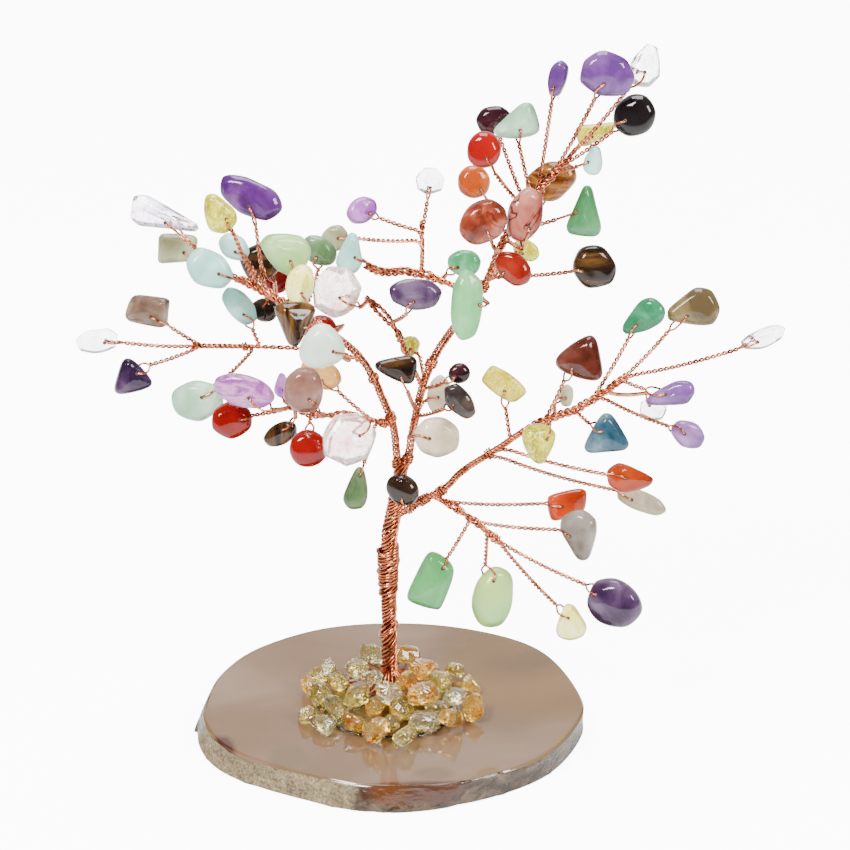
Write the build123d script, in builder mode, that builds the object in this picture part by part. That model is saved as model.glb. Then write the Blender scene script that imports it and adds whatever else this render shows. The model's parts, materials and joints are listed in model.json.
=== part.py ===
from build123d import *
from collections import namedtuple
from math import atan2, cos, degrees, radians, sin, tau
import os

os.makedirs("parts", exist_ok=True)

# Gemstone tree ornament: drilled tumbled stones wired to twisted copper boughs
# that rise from a bed of glued chips on a polished agate slice.
# Millimetres, +Z up, +X right, viewed along +Y.
# The origin is the middle of the slice's flat underside.

# Driving dimensions
SLICE_LENGTH = 90.0
SLICE_THICKNESS = 6.2
WIRE = 0.5
STONE_THICKNESS = 4.6
CROWN_DEPTH = 70.0
SMALLEST_THICKNESS = 2.6
CHIP_LENGTH = 5.9
CHIP_THICKNESS = 3.0
GLUE_THICKNESS = 0.8

# Clearances between pieces that lie against each other
JOIN_GAP = 0.12
EYE_GAP = 0.15
SWING_GAP = 0.06
LAYER_GAP = 0.1

# Widths of the copper bundles, counted in wires
TRUNK_WIRES = 6.6
FOOT_WIRES = 8.4
FIRST_BOUGH_WIRES = 3.4
BOUGH_WIRES = 2.8
SPRAY_WIRES = 2.2
TWIG_WIRES = 1.7

# The picture: a level camera far in front of the tree, looking down a little.
# The slice is SLICE_PIXELS long in it, and its top's middle is at SLICE_COLUMN, SLICE_ROW.
LOOKING_DOWN = radians(25)
SLICE_PIXELS = 386
SLICE_COLUMN = 393
SLICE_ROW = 704.5
PHOTO_MIDDLE = 425
FOOT_COLUMN = 390
FOOT_ROW = 686
VIEW_LENGTHS = 7.8
PIXEL = SLICE_LENGTH / SLICE_PIXELS
AHEAD = Vector(0, cos(LOOKING_DOWN), -sin(LOOKING_DOWN))
ABOVE = Vector(0, sin(LOOKING_DOWN), cos(LOOKING_DOWN))
RIGHT = Vector(1, 0, 0)


def ray(column, row):
    """The line of sight through a pixel, as long as the distance to the slice."""
    across = RIGHT * ((column - PHOTO_MIDDLE) * PIXEL)
    upward = ABOVE * ((PHOTO_MIDDLE - row) * PIXEL)
    return AHEAD * (VIEW_LENGTHS * SLICE_LENGTH) + across + upward


CAMERA = Vector(0, 0, SLICE_THICKNESS) - ray(SLICE_COLUMN, SLICE_ROW)


def on_level(column, row, height):
    """The place on a level plane that a pixel shows."""
    sight = ray(column, row)
    return CAMERA + sight * ((height - CAMERA.Z) / sight.Z)


FOOT = on_level(FOOT_COLUMN, FOOT_ROW, SLICE_THICKNESS)


def seen(column, row, depth_share):
    """The place that a pixel shows, at a share of the crown's depth behind the trunk."""
    sight = ray(column, row)
    depth = FOOT.Y + depth_share * CROWN_DEPTH
    return CAMERA + sight * ((depth - CAMERA.Y) / sight.Y)


def pixel_at(place):
    """What one pixel measures at a place."""
    return PIXEL * (place - CAMERA).dot(AHEAD) / (VIEW_LENGTHS * SLICE_LENGTH)


# Agate slice: polished top, natural rind that flares out below at the front and left.
# Pixels of the top edge and of the lower edge, clockwise from the left end.
TOP_EDGE = [(200, 712), (216, 676), (240, 655), (268, 642), (326, 624), (404, 621), (457, 625),
            (517, 637), (556, 655), (586, 699), (585, 715), (556, 754), (504, 773), (452, 786),
            (378, 787), (347, 784), (310, 775), (237, 757), (211, 736)]
FLARE = 2.0
FLARED_FROM = 13
RIM_BREAK = 0.5


def slice_outline(flare):
    """The slice's edge on its top's level, its front and left points moved out by the flare."""
    corners = []
    for number, (column, row) in enumerate(TOP_EDGE):
        place = on_level(column, row, SLICE_THICKNESS)
        corner = Vector(place.X, place.Y)
        if number == 0 or number > FLARED_FROM:
            corner += corner.normalized() * flare
        corners.append(corner)
    return corners


with BuildPart() as agate_slice:
    for height, flare in ((0, FLARE), (SLICE_THICKNESS, 0)):
        with BuildSketch(Plane.XY.offset(height)):
            Polygon(*[(corner.X, corner.Y) for corner in slice_outline(flare)], align=None)
    loft(ruled=True)
    chamfer(agate_slice.faces().sort_by(Axis.Z)[-1].edges(), length=RIM_BREAK)

# Clear glue bed that holds the chips and the roots down, mostly in front of the trunk
BED_LENGTH = 44.0
BED_WIDTH = 40.8
BED_AHEAD = 9.5
BED_SIDES = 28
BED_TOP = SLICE_THICKNESS + LAYER_GAP / 2 + GLUE_THICKNESS
BED_MIDDLE = Vector(FOOT.X, FOOT.Y - BED_AHEAD, SLICE_THICKNESS + LAYER_GAP / 2)

with BuildPart() as glue_bed:
    with BuildSketch(Plane(BED_MIDDLE)):
        RegularPolygon(BED_LENGTH / 2, BED_SIDES)
        scale(by=(1, BED_WIDTH / BED_LENGTH, 1))
    extrude(amount=GLUE_THICKNESS)

# Trunk: a straight bundle of wires, spread at its foot, that leans to the right at its top
TRUNK_RADIUS = TRUNK_WIRES * WIRE / 2
FOOT_RADIUS = FOOT_WIRES * WIRE / 2
FOOT_HEIGHT = 9.0
TRUNK_SIDES = 8
TRUNK_FOOT = Vector(FOOT.X, FOOT.Y, BED_TOP + LAYER_GAP)
TRUNK_BEND = seen(388, 536, 0)
TRUNK_ROUTE = [TRUNK_FOOT, TRUNK_BEND, seen(394, 514, 0), seen(402, 463, 0)]


def rod(route, radius, sides):
    """A bundle of wires along straight runs, with mitred bends."""
    with BuildPart() as bundle:
        with BuildLine():
            Polyline(*route)
        with BuildSketch(Plane(route[0], z_dir=route[1] - route[0])):
            RegularPolygon(radius, sides)
        sweep(transition=Transition.RIGHT)
    return bundle.part


with BuildPart() as trunk_core:
    add(rod(TRUNK_ROUTE, TRUNK_RADIUS, TRUNK_SIDES))
    with BuildSketch(Plane(TRUNK_FOOT, z_dir=TRUNK_BEND - TRUNK_FOOT)):
        RegularPolygon(FOOT_RADIUS, TRUNK_SIDES)
    extrude(amount=FOOT_HEIGHT, taper=degrees(atan2(FOOT_RADIUS - TRUNK_RADIUS, FOOT_HEIGHT)))

# Collar: one wire wound round the trunk below its bend, in half turns that meet smoothly
COLLAR_TURNS = 7
COLLAR_SIDES = 4
COLLAR_FROM = seen(388, 584, 0)
COLLAR_TO = seen(388, 543, 0)
COLLAR_RADIUS = TRUNK_RADIUS + LAYER_GAP + WIRE / 2
MEASURED_POINTS = 24
trunk_run = (TRUNK_BEND - TRUNK_FOOT).normalized()
collar_start = TRUNK_FOOT + trunk_run * (COLLAR_FROM - TRUNK_FOOT).dot(trunk_run)
collar_length = (COLLAR_TO - COLLAR_FROM).dot(trunk_run)
collar_axis = Plane(collar_start, z_dir=trunk_run)
half_rise = collar_length / COLLAR_TURNS / 2

with BuildPart() as trunk_collar:
    with BuildLine() as collar_path:
        for half in range(2 * COLLAR_TURNS):
            side = COLLAR_RADIUS if half % 2 == 0 else -COLLAR_RADIUS
            ThreePointArc(
                collar_axis.from_local_coords((side, 0, half * half_rise)),
                collar_axis.from_local_coords((0, side, (half + 0.5) * half_rise)),
                collar_axis.from_local_coords((-side, 0, (half + 1) * half_rise)),
            )
    with BuildSketch(Plane(collar_path.line @ 0, z_dir=collar_path.line % 0)):
        RegularPolygon(WIRE / 2, COLLAR_SIDES)
    sweep()

turn_points = [collar_path.line @ (point / MEASURED_POINTS / COLLAR_TURNS)
               for point in range(2 * MEASURED_POINTS)]
apart = MEASURED_POINTS // 2
closest = min((here - there).length for number, here in enumerate(turn_points)
              for there in turn_points[number + apart:])
print(f"trunk collar: least gap between its turns {closest - WIRE:.2f} mm")

# Boughs: bundles that get thinner, as pixels of their bends with the depth share of each.
# A bough that has a parent starts beside it.
Bough = namedtuple("Bough", "wires route")
BOUGH_SIDES = 6


def joint_on(bough, place):
    """The point of a bough's middle line that is nearest to a place, and the line's heading."""
    nearest = None
    for start, end in zip(bough.route, bough.route[1:]):
        run = end - start
        share = min(max((place - start).dot(run) / run.dot(run), 0), 1)
        point = start + run * share
        if nearest is None or (place - point).length < (place - nearest[0]).length:
            nearest = (point, run.normalized())
    return nearest


def beside(bough, place, toward, radius):
    """Where a thinner bundle leaves a bough: beside it, on the side that it goes to."""
    point, along = joint_on(bough, place)
    away = toward - point
    away = (away - along * away.dot(along)).normalized()
    return point + away * (bough.wires * WIRE / 2 + radius + JOIN_GAP)


def branch(parent, wires, places):
    """A bough whose first place is on its parent."""
    first = beside(parent, places[0], places[1], wires * WIRE / 2)
    return Bough(wires, [first, *places[1:]])


TRUNK = Bough(TRUNK_WIRES, TRUNK_ROUTE)
LEFT = Bough(FIRST_BOUGH_WIRES, [
    seen(397, 458, 0), seen(394, 424, 0), seen(383, 400, -0.02), seen(371, 371, -0.04),
    seen(350, 345, -0.06), seen(300, 312, -0.04), seen(262, 290, 0), seen(240, 279, 0)])
UPRIGHT = Bough(FIRST_BOUGH_WIRES, [
    seen(408, 461, 0), seen(411, 440, 0), seen(421, 389, 0), seen(434, 356, 0), seen(452, 330, 0),
    seen(487, 285, 0), seen(503, 237, 0), seen(537, 192, 0), seen(558, 168, 0)])
MIDDLE = branch(UPRIGHT, BOUGH_WIRES, [
    seen(474, 300, 0), seen(456, 286, 0.05), seen(415, 271, 0.06), seen(380, 273, 0.02),
    seen(366, 266, 0)])
INNER = branch(UPRIGHT, SPRAY_WIRES, [
    seen(423, 380, 0), seen(404, 347, -0.06), seen(392, 321, -0.07), seen(366, 298, -0.08)])
FAR_LEFT = branch(LEFT, SPRAY_WIRES, [
    seen(360, 357, -0.05), seen(344, 351, -0.12), seen(276, 347, -0.08), seen(199, 346, -0.03)])
LOWER_LEFT = branch(LEFT, SPRAY_WIRES, [
    seen(392, 420, 0), seen(347, 414, -0.1), seen(316, 417, -0.12), seen(290, 407, -0.1)])
LOWER_RIGHT = branch(TRUNK, BOUGH_WIRES, [
    seen(396, 508, 0), seen(430, 496, -0.05), seen(445, 490, -0.05), seen(461, 471, -0.04),
    seen(495, 451, -0.02), seen(538, 421, 0), seen(583, 409, 0), seen(627, 376, 0)])
LOW_SPRAY = branch(LOWER_RIGHT, SPRAY_WIRES, [
    seen(436, 493, -0.05), seen(470, 516, -0.1), seen(498, 541, -0.1)])
BACK = branch(MIDDLE, SPRAY_WIRES, [
    seen(421, 272, 0.06), seen(423, 240, 0.18), seen(421, 221, 0.22)])
BOUGHS = {
    "left": LEFT,
    "upright": UPRIGHT,
    "middle": MIDDLE,
    "inner": INNER,
    "far_left": FAR_LEFT,
    "lower_left": LOWER_LEFT,
    "lower_right": LOWER_RIGHT,
    "low_spray": LOW_SPRAY,
    "back": BACK,
}

# Stones: outlines as shares of half the length and half the height
OVAL = [(1, 0.2), (0.54, 0.9), (-0.36, 1), (-0.96, 0.42), (-0.86, -0.56), (-0.14, -1), (0.74, -0.76)]
ROUND = [(1, 0.2), (0.5, 0.9), (-0.3, 0.98), (-0.95, 0.4), (-0.88, -0.5), (-0.2, -1), (0.72, -0.74)]
DROP = [(1, 0.28), (0.1, 0.86), (-0.6, 1), (-1, 0.3), (-0.86, -0.66), (-0.3, -1), (0.92, -0.34)]
WEDGE = [(1, 0.22), (-0.7, 1), (-1, 0.72), (-0.94, -0.7), (-0.62, -1), (0.96, -0.28)]
BLOCK = [(1, 0.66), (0.8, 1), (-0.84, 0.94), (-1, 0.7), (-0.94, -0.84), (-0.76, -1), (0.86, -0.9)]
RHOMB = [(1, 0.22), (0.3, 1), (-0.74, 0.84), (-1, -0.16), (-0.24, -1), (0.86, -0.66)]

THICKNESS_SHARE = 0.5
EDGE_BREAK_SHARE = 0.13
FACE_UP = 14
FACE_STEP = 11
FACE_STEPS = 5
HOLE_INSET = 1.6
HOLE_SHARE = 0.4
KNOT_REACH = 1.2
HOLE_WIRES = 1.8
PIN_WIRES = 1.2
EYE_WIRE = 0.8 * WIRE
HOLE_SIDES = 5
TWIG_SIDES = 4

Gem = namedtuple("Gem", "node outline column row depth length height turn bough leaves")
GEMS = [
    # Crown, at the right bough's end
    Gem("amethysts_right", OVAL, 558, 80, 0, 36, 18, 82, "upright", (537, 191)),
    Gem("amethysts_right", OVAL, 608, 75, -0.06, 57, 43, -12, "upright", (551, 177)),
    Gem("quartz_right", DROP, 646, 65, 0.1, 45, 32, 65, "upright", (556, 170)),
    Gem("obsidian", ROUND, 634, 115, -0.03, 45, 45, 0, "upright", (558, 168)),
    Gem("citrines", WEDGE, 597, 131, 0.2, 42, 22, 15, "upright", (545, 183)),
    Gem("aquamarines", DROP, 594, 161, -0.1, 30, 20, 85, "upright", (553, 174)),
    Gem("garnets", OVAL, 494, 121, 0.16, 36, 27, 15, "upright", (530, 200)),
    Gem("aventurines_right", WEDGE, 515, 125, 0.02, 47, 36, 195, "upright", (532, 198)),
    Gem("carnelians_right", ROUND, 485, 151, -0.1, 41, 40, 0, "upright", (522, 212)),
    Gem("orange_agates", ROUND, 474, 182, 0.05, 38, 37, 0, "upright", (512, 225)),
    Gem("tiger_eyes_right", RHOMB, 551, 182, 0.22, 52, 38, 38, "upright", (521, 214)),
    Gem("jaspers", RHOMB, 484, 222, -0.16, 51, 46, 65, "upright", (495, 259)),
    Gem("jaspers", RHOMB, 526, 216, -0.12, 55, 38, 72, "upright", (501, 243)),
    Gem("aventurines_right", WEDGE, 585, 210, -0.05, 48, 36, 88, "upright", (506, 232)),
    Gem("tiger_eye_hanging", RHOMB, 594, 268, -0.05, 45, 43, -8, "upright", (489, 279)),
    Gem("jaspers", OVAL, 512, 270, -0.16, 40, 29, -38, "upright", (485, 287)),
    Gem("citrines", OVAL, 526, 251, 0.2, 26, 19, -30, "upright", (492, 267)),
    Gem("aventurine_hanging", OVAL, 468, 305, -0.2, 70, 33, 82, "upright", (474, 302)),
    # Middle boughs
    Gem("aventurines_right", OVAL, 464, 263, 0.16, 34, 28, 0, "middle", (440, 280)),
    Gem("amethysts_left", OVAL, 415, 294, -0.16, 55, 31, -5, "inner", (393, 323)),
    Gem("quartz_left", OVAL, 338, 292, -0.14, 50, 46, 60, "inner", (367, 299)),
    Gem("aquamarines", DROP, 350, 254, 0.1, 42, 30, 80, "middle", (370, 268)),
    Gem("amethysts_left", OVAL, 362, 211, 0.24, 32, 24, 22, "back", (421, 222)),
    Gem("prehnites", OVAL, 335, 238, 0.34, 30, 24, 60, "back", (423, 238)),
    Gem("quartz_left", ROUND, 430, 182, 0.26, 28, 26, 0, "back", (422, 226)),
    # Left bough's fan
    Gem("quartz_left", WEDGE, 165, 217, 0, 72, 32, -10, "left", (240, 279)),
    Gem("prehnites", BLOCK, 178, 249, 0.14, 38, 29, -4, "left", (254, 286)),
    Gem("citrines", DROP, 220, 212, -0.08, 41, 33, 112, "left", (260, 289)),
    Gem("amethysts_left", OVAL, 251, 198, 0.06, 63, 37, -22, "left", (267, 293)),
    Gem("aquamarines", RHOMB, 209, 269, -0.1, 48, 38, -28, "left", (247, 282)),
    Gem("aquamarines", RHOMB, 234, 247, 0.12, 32, 26, -20, "left", (273, 296)),
    Gem("tiger_eyes_left", BLOCK, 261, 262, 0.19, 36, 34, 20, "left", (281, 301)),
    Gem("aventurines_left", DROP, 286, 251, -0.06, 47, 41, 145, "left", (288, 305)),
    Gem("aventurines_left", RHOMB, 319, 251, 0.17, 34, 29, -12, "left", (302, 313)),
    Gem("carnelians_left", OVAL, 278, 281, 0.3, 28, 26, 20, "left", (295, 309)),
    Gem("smoky_quartz", ROUND, 264, 310, 0.06, 30, 25, 0, "left", (268, 294)),
    Gem("citrines", OVAL, 301, 285, -0.15, 42, 28, 82, "left", (309, 318)),
    Gem("tiger_eyes_left", WEDGE, 295, 326, -0.27, 44, 40, 260, "left", (316, 322)),
    Gem("carnelians_left", ROUND, 321, 333, 0.1, 38, 36, 0, "left", (330, 332)),
    # Far left spray
    Gem("aquamarines", OVAL, 240, 307, 0.01, 44, 27, -48, "far_left", (268, 347)),
    Gem("smoky_quartz", BLOCK, 148, 310, 0, 42, 29, 176, "far_left", (206, 346)),
    Gem("quartz_left", OVAL, 98, 341, -0.08, 44, 24, 10, "far_left", (199, 346)),
    Gem("amethysts_left", WEDGE, 130, 375, -0.02, 34, 40, 95, "far_left", (203, 346)),
    Gem("aventurines_left", RHOMB, 198, 402, 0.02, 50, 45, 28, "far_left", (262, 347)),
    Gem("moonstones", DROP, 323, 345, -0.37, 49, 49, 92, "far_left", (348, 353)),
    # Lower left spray
    Gem("orange_agates", OVAL, 321, 374, 0.02, 43, 30, -18, "lower_left", (360, 417)),
    Gem("rose_quartz", OVAL, 305, 390, -0.2, 46, 38, 95, "lower_left", (325, 416)),
    Gem("amethysts_left", DROP, 281, 385, 0.08, 24, 13, 80, "lower_left", (308, 415)),
    Gem("amethysts_left", OVAL, 242, 391, -0.2, 64, 30, -12, "lower_left", (290, 407)),
    Gem("carnelians_left", RHOMB, 231, 420, -0.1, 42, 37, 12, "lower_left", (293, 409)),
    Gem("tiger_eyes_left", OVAL, 281, 434, 0, 38, 22, 35, "lower_left", (299, 410)),
    Gem("carnelian_hanging", ROUND, 308, 448, -0.18, 40, 40, 80, "lower_left", (313, 416)),
    Gem("quartz_left", ROUND, 348, 440, -0.3, 54, 50, 50, "lower_left", (350, 414)),
    Gem("aventurine_drop", DROP, 357, 488, -0.05, 44, 25, 85, "lower_left", (372, 420)),
    Gem("smoky_quartz", WEDGE, 396, 369, -0.14, 40, 30, 168, "upright", (414, 420)),
    Gem("citrines", OVAL, 411, 346, 0.14, 22, 18, 60, "upright", (428, 371)),
    # Inner right
    Gem("garnets", ROUND, 459, 374, -0.06, 25, 23, 0, "upright", (420, 393)),
    Gem("moonstones", OVAL, 440, 395, 0.14, 38, 22, 75, "upright", (417, 405)),
    Gem("hematite", RHOMB, 460, 401, -0.14, 38, 25, -42, "upright", (413, 425)),
    Gem("moonstones", OVAL, 437, 438, -0.14, 47, 40, 8, "upright", (411, 436)),
    Gem("smoky_quartz", OVAL, 403, 490, -0.12, 38, 33, -25, "lower_right", (418, 503)),
    # Lower right bough
    Gem("citrines", BLOCK, 504, 385, 0, 42, 20, -38, "lower_right", (511, 440)),
    Gem("citrines", DROP, 538, 444, -0.14, 38, 35, 262, "lower_right", (528, 428)),
    Gem("jaspers", WEDGE, 577, 361, 0, 46, 46, 192, "lower_right", (543, 419)),
    Gem("prehnites", OVAL, 567, 395, 0.14, 24, 15, 80, "lower_right", (556, 416)),
    Gem("aventurines_right", DROP, 643, 318, -0.02, 45, 30, 222, "lower_right", (592, 403)),
    Gem("labradorites", DROP, 692, 309, 0.04, 53, 38, 195, "lower_right", (623, 379)),
    Gem("quartz_right", OVAL, 762, 338, 0, 50, 19, 10, "lower_right", (627, 376)),
    Gem("amethysts_right", DROP, 672, 395, -0.06, 48, 25, 198, "lower_right", (620, 381)),
    Gem("amethysts_right", RHOMB, 688, 435, 0.14, 35, 28, -20, "lower_right", (603, 394)),
    Gem("quartz_right", ROUND, 654, 409, 0.28, 27, 25, 0, "lower_right", (613, 386)),
    Gem("blue_agate", WEDGE, 607, 432, -0.1, 38, 44, 92, "lower_right", (575, 411)),
    Gem("carnelians_right", DROP, 632, 479, -0.1, 49, 29, -16, "lower_right", (500, 448)),
    Gem("prehnites", OVAL, 642, 503, 0.1, 54, 22, -18, "lower_right", (492, 453)),
    # Low right spray
    Gem("orange_agates", BLOCK, 568, 505, 0.02, 38, 27, 6, "low_spray", (445, 506)),
    Gem("labradorites", DROP, 581, 536, -0.12, 47, 37, 285, "low_spray", (472, 518)),
    Gem("jade_hanging", BLOCK, 434, 581, -0.14, 52, 37, 64, "low_spray", (470, 516)),
    Gem("serpentine_hanging", OVAL, 493, 597, -0.06, 60, 41, 76, "low_spray", (482, 527)),
    Gem("amethyst_hanging", OVAL, 615, 603, -0.14, 58, 45, -22, "low_spray", (498, 541)),
    Gem("citrine_hanging", DROP, 571, 621, 0, 36, 30, 95, "low_spray", (490, 535)),
]


def face_plane(number, gem):
    """The plane of a stone's middle: it faces the viewer, turned a step to one side."""
    place = seen(gem.column, gem.row, gem.depth)
    aside = radians(FACE_STEP * (number * 2 % FACE_STEPS - FACE_STEPS // 2))
    up = radians(FACE_UP)
    facing = Vector(sin(aside) * cos(up), -cos(aside) * cos(up), sin(up))
    level = Vector(0, 0, 1).cross(facing).normalized()
    upright = facing.cross(level)
    turn = radians(gem.turn)
    return Plane(place, x_dir=level * cos(turn) + upright * sin(turn), z_dir=facing)


def stone_corners(gem, plane):
    """The corners of a stone's outline in its own plane."""
    pixel = pixel_at(plane.origin)
    half_length = gem.length * pixel / 2
    half_height = gem.height * pixel / 2
    return [Vector(x * half_length, y * half_height) for x, y in gem.outline]


def edge_distance(corners, heading):
    """How far a convex outline's edge is from its middle in one direction."""
    nearest = None
    for corner, after in zip(corners, corners[1:] + corners[:1]):
        along = after - corner
        outward = Vector(along.Y, -along.X)
        reach = outward.dot(corner) / outward.dot(heading) if outward.dot(heading) else 0
        if reach > 0 and (nearest is None or reach < nearest):
            nearest = reach
    return nearest


def thickness_of(gem, plane):
    """A stone's thickness, less for the smallest ones."""
    share = THICKNESS_SHARE * min(gem.length, gem.height) * pixel_at(plane.origin)
    return max(SMALLEST_THICKNESS, min(STONE_THICKNESS, share))


Hung = namedtuple("Hung", "gem plane heading hole_at edge_at thickness")


def hang(number, gem, swings):
    """Where a stone's hole and the wire's eye go, on the side nearest to its bough.

    A stone that swings is drilled near its edge, any other nearer to its middle.
    """
    plane = face_plane(number, gem)
    corners = stone_corners(gem, plane)
    joint, along = joint_on(BOUGHS[gem.bough], seen(*gem.leaves, gem.depth / 2))
    toward = plane.to_local_coords(joint)
    heading = Vector(toward.X, toward.Y).normalized()
    edge = edge_distance(corners, heading)
    hole_at = edge - HOLE_INSET if swings else edge * HOLE_SHARE
    return Hung(gem, plane, heading, hole_at, edge, thickness_of(gem, plane))


def drilled_stone(hung, swings):
    """A tumbled stone with broken edges, drilled through near the edge that it hangs by."""
    corners = stone_corners(hung.gem, hung.plane)
    hole = hung.heading * hung.hole_at
    break_size = EDGE_BREAK_SHARE * min(hung.gem.length, hung.gem.height) * pixel_at(hung.plane.origin)
    with BuildPart() as stone:
        with BuildSketch(hung.plane):
            Polygon(*[(c.X, c.Y) for c in corners], align=None)
        extrude(amount=hung.thickness / 2, both=True)
        faces = stone.faces().sort_by(Axis(hung.plane.origin, hung.plane.z_dir))
        chamfer(faces[0].edges() + faces[-1].edges(), length=break_size)
        with BuildSketch(hung.plane.offset(-hung.thickness)):
            with Locations((hole.X, hole.Y)):
                if swings:
                    Circle(PIN_WIRES * WIRE / 2 + SWING_GAP)
                else:
                    RegularPolygon(HOLE_WIRES * WIRE / 2, HOLE_SIDES)
        extrude(amount=2 * hung.thickness, mode=Mode.SUBTRACT)
    return stone.part


def twig(hung, bough, swings):
    """A twisted stem from the bough, opened at its end into an eye through the stone."""
    plane, heading = hung.plane, hung.heading
    stem_radius = TWIG_WIRES * WIRE / 2
    knot_at = hung.edge_at + KNOT_REACH
    knot = plane.from_local_coords(heading * knot_at)
    start = beside(bough, seen(*hung.gem.leaves, hung.gem.depth / 2), knot, stem_radius)
    eye_half = hung.thickness / 2 + EYE_GAP + EYE_WIRE / 2
    shoulder_at = hung.edge_at + WIRE
    corners = [
        (knot_at, 0), (shoulder_at, eye_half), (hung.hole_at, eye_half),
        (hung.hole_at, -eye_half), (shoulder_at, -eye_half),
    ]
    eye_plane = Plane(
        plane.origin, x_dir=plane.from_local_coords(heading) - plane.origin,
        z_dir=plane.z_dir.cross(plane.from_local_coords(heading) - plane.origin))
    with BuildPart() as wire:
        with BuildSketch(eye_plane):
            with BuildLine():
                Polyline(*[(x, -y) for x, y in corners], close=True)
            make_face()
            offset(amount=EYE_WIRE / 2, kind=Kind.INTERSECTION)
            offset(amount=-EYE_WIRE, kind=Kind.INTERSECTION, mode=Mode.SUBTRACT)
        extrude(amount=EYE_WIRE / 2, both=True)
        with BuildSketch(Plane(start, z_dir=knot - start)):
            RegularPolygon(stem_radius, TWIG_SIDES)
        extrude(amount=(knot - start).length)
        if swings:
            with BuildSketch(plane.offset(-eye_half)):
                with Locations((heading.X * hung.hole_at, heading.Y * hung.hole_at)):
                    Circle(PIN_WIRES * WIRE / 2)
            extrude(amount=2 * eye_half)
    return wire.part


stones = {}
twigs = {}
for number, gem in enumerate(GEMS):
    swings = "hanging" in gem.node or "drop" in gem.node
    hung = hang(number, gem, swings)
    stones.setdefault(gem.node, []).append(drilled_stone(hung, swings))
    twigs.setdefault(gem.bough, []).append(twig(hung, BOUGHS[gem.bough], swings))
    if swings:
        pivot = hung.plane.from_local_coords(hung.heading * hung.hole_at)
        print(f"{gem.node}: pivot {tuple(round(v, 3) for v in pivot)}, "
              f"axis {tuple(round(v, 4) for v in hung.plane.z_dir)}")

# Foot: root wires splayed over the bed, and tumbled chips in staggered rows round the trunk.
# A few more chips lie on top of them near the bed's middle.
ROOTS = 7
ROOT_SIDES = 6
ROOT_REACH = 10.0
CHIP_KINDS = ("honey_chips", "pale_chips", "clear_chips")
CHIP_OUTLINES = (OVAL, WEDGE, BLOCK, RHOMB, ROUND)
CHIP_WIDTH_SHARE = 0.78
CHIP_CORNER_SHARE = 1.15
CHIP_SMALLER_SHARE = 0.04
CHIP_SIZES = 4
CHIP_TAPER = 12
CHIP_TURN = 67
ROW_SHARE = 0.87
CHIP_PITCH = CHIP_LENGTH * CHIP_CORNER_SHARE
# The reach of each layer as a share of the bed, and its shift as a share of the pitch
CHIP_LAYERS = [(0.9, 0, 0), (0.5, 0.5, 0.2)]

with BuildPart() as root_strands:
    for number in range(ROOTS):
        turn = tau * (number + 0.5) / ROOTS
        heading = Vector(cos(turn), sin(turn), 0)
        start = Vector(FOOT.X, FOOT.Y, BED_TOP + WIRE / 2 + LAYER_GAP)
        with BuildSketch(Plane(start + heading * (FOOT_RADIUS + JOIN_GAP), z_dir=heading)):
            RegularPolygon(WIRE / 2, ROOT_SIDES)
        extrude(amount=ROOT_REACH - FOOT_RADIUS)


def foot_chip(place, number):
    """A tumbled chip lying flat, with its middle at a place and sides that lean inward."""
    turn = radians(CHIP_TURN * number)
    half_length = CHIP_LENGTH * (1 - CHIP_SMALLER_SHARE * (number % CHIP_SIZES)) / 2
    half_width = half_length * CHIP_WIDTH_SHARE
    outline = CHIP_OUTLINES[number % len(CHIP_OUTLINES)]
    with BuildPart() as chip:
        with BuildSketch(Plane(place, x_dir=(cos(turn), sin(turn), 0), z_dir=(0, 0, 1))):
            Polygon(*[(x * half_length, y * half_width) for x, y in outline], align=None)
        extrude(amount=CHIP_THICKNESS, taper=CHIP_TAPER)
    return chip.part


chips = {}
chip_count = 0
for layer, (reach_share, right_share, back_share) in enumerate(CHIP_LAYERS):
    height = BED_TOP + WIRE + 2 * LAYER_GAP + layer * (CHIP_THICKNESS + LAYER_GAP)
    rows = int(BED_WIDTH / CHIP_PITCH)
    for row in range(-rows, rows + 1):
        for column in range(-rows, rows + 1):
            place = Vector(
                BED_MIDDLE.X + (column + row % 2 / 2 + right_share) * CHIP_PITCH,
                BED_MIDDLE.Y + (row + back_share) * ROW_SHARE * CHIP_PITCH,
                height,
            )
            out = place - BED_MIDDLE
            reach = (out.X / BED_LENGTH) ** 2 + (out.Y / BED_WIDTH) ** 2
            from_trunk = Vector(place.X - FOOT.X, place.Y - FOOT.Y).length
            if reach > (reach_share / 2) ** 2 or from_trunk < FOOT_RADIUS + JOIN_GAP + CHIP_PITCH / 2:
                continue
            kind = CHIP_KINDS[chip_count % len(CHIP_KINDS)]
            chips.setdefault(kind, []).append(foot_chip(place, chip_count))
            chip_count += 1

labelled = {
    "agate_slice": agate_slice,
    "glue_bed": glue_bed,
    "root_strands": root_strands,
    "trunk_core": trunk_core,
    "trunk_collar": trunk_collar,
}
for label, made in labelled.items():
    made.part.label = label
    export_step(made.part, f"parts/{label}.step")

for bough_name, bough in BOUGHS.items():
    bundle = rod(bough.route, bough.wires * WIRE / 2, BOUGH_SIDES)
    bundle.label = f"{bough_name}_bough"
    export_step(bundle, f"parts/{bough_name}_bough.step")

for label, solids in [*stones.items(), *chips.items(), *((f"{n}_twigs", t) for n, t in twigs.items())]:
    with BuildPart() as group:
        add(solids)
    group.part.label = label
    export_step(group.part, f"parts/{label}.step")
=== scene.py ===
import json
import math

import bmesh
import bpy
import numpy as np
from mathutils import Euler, Matrix, Vector, noise
from mathutils.bvhtree import BVHTree


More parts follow.
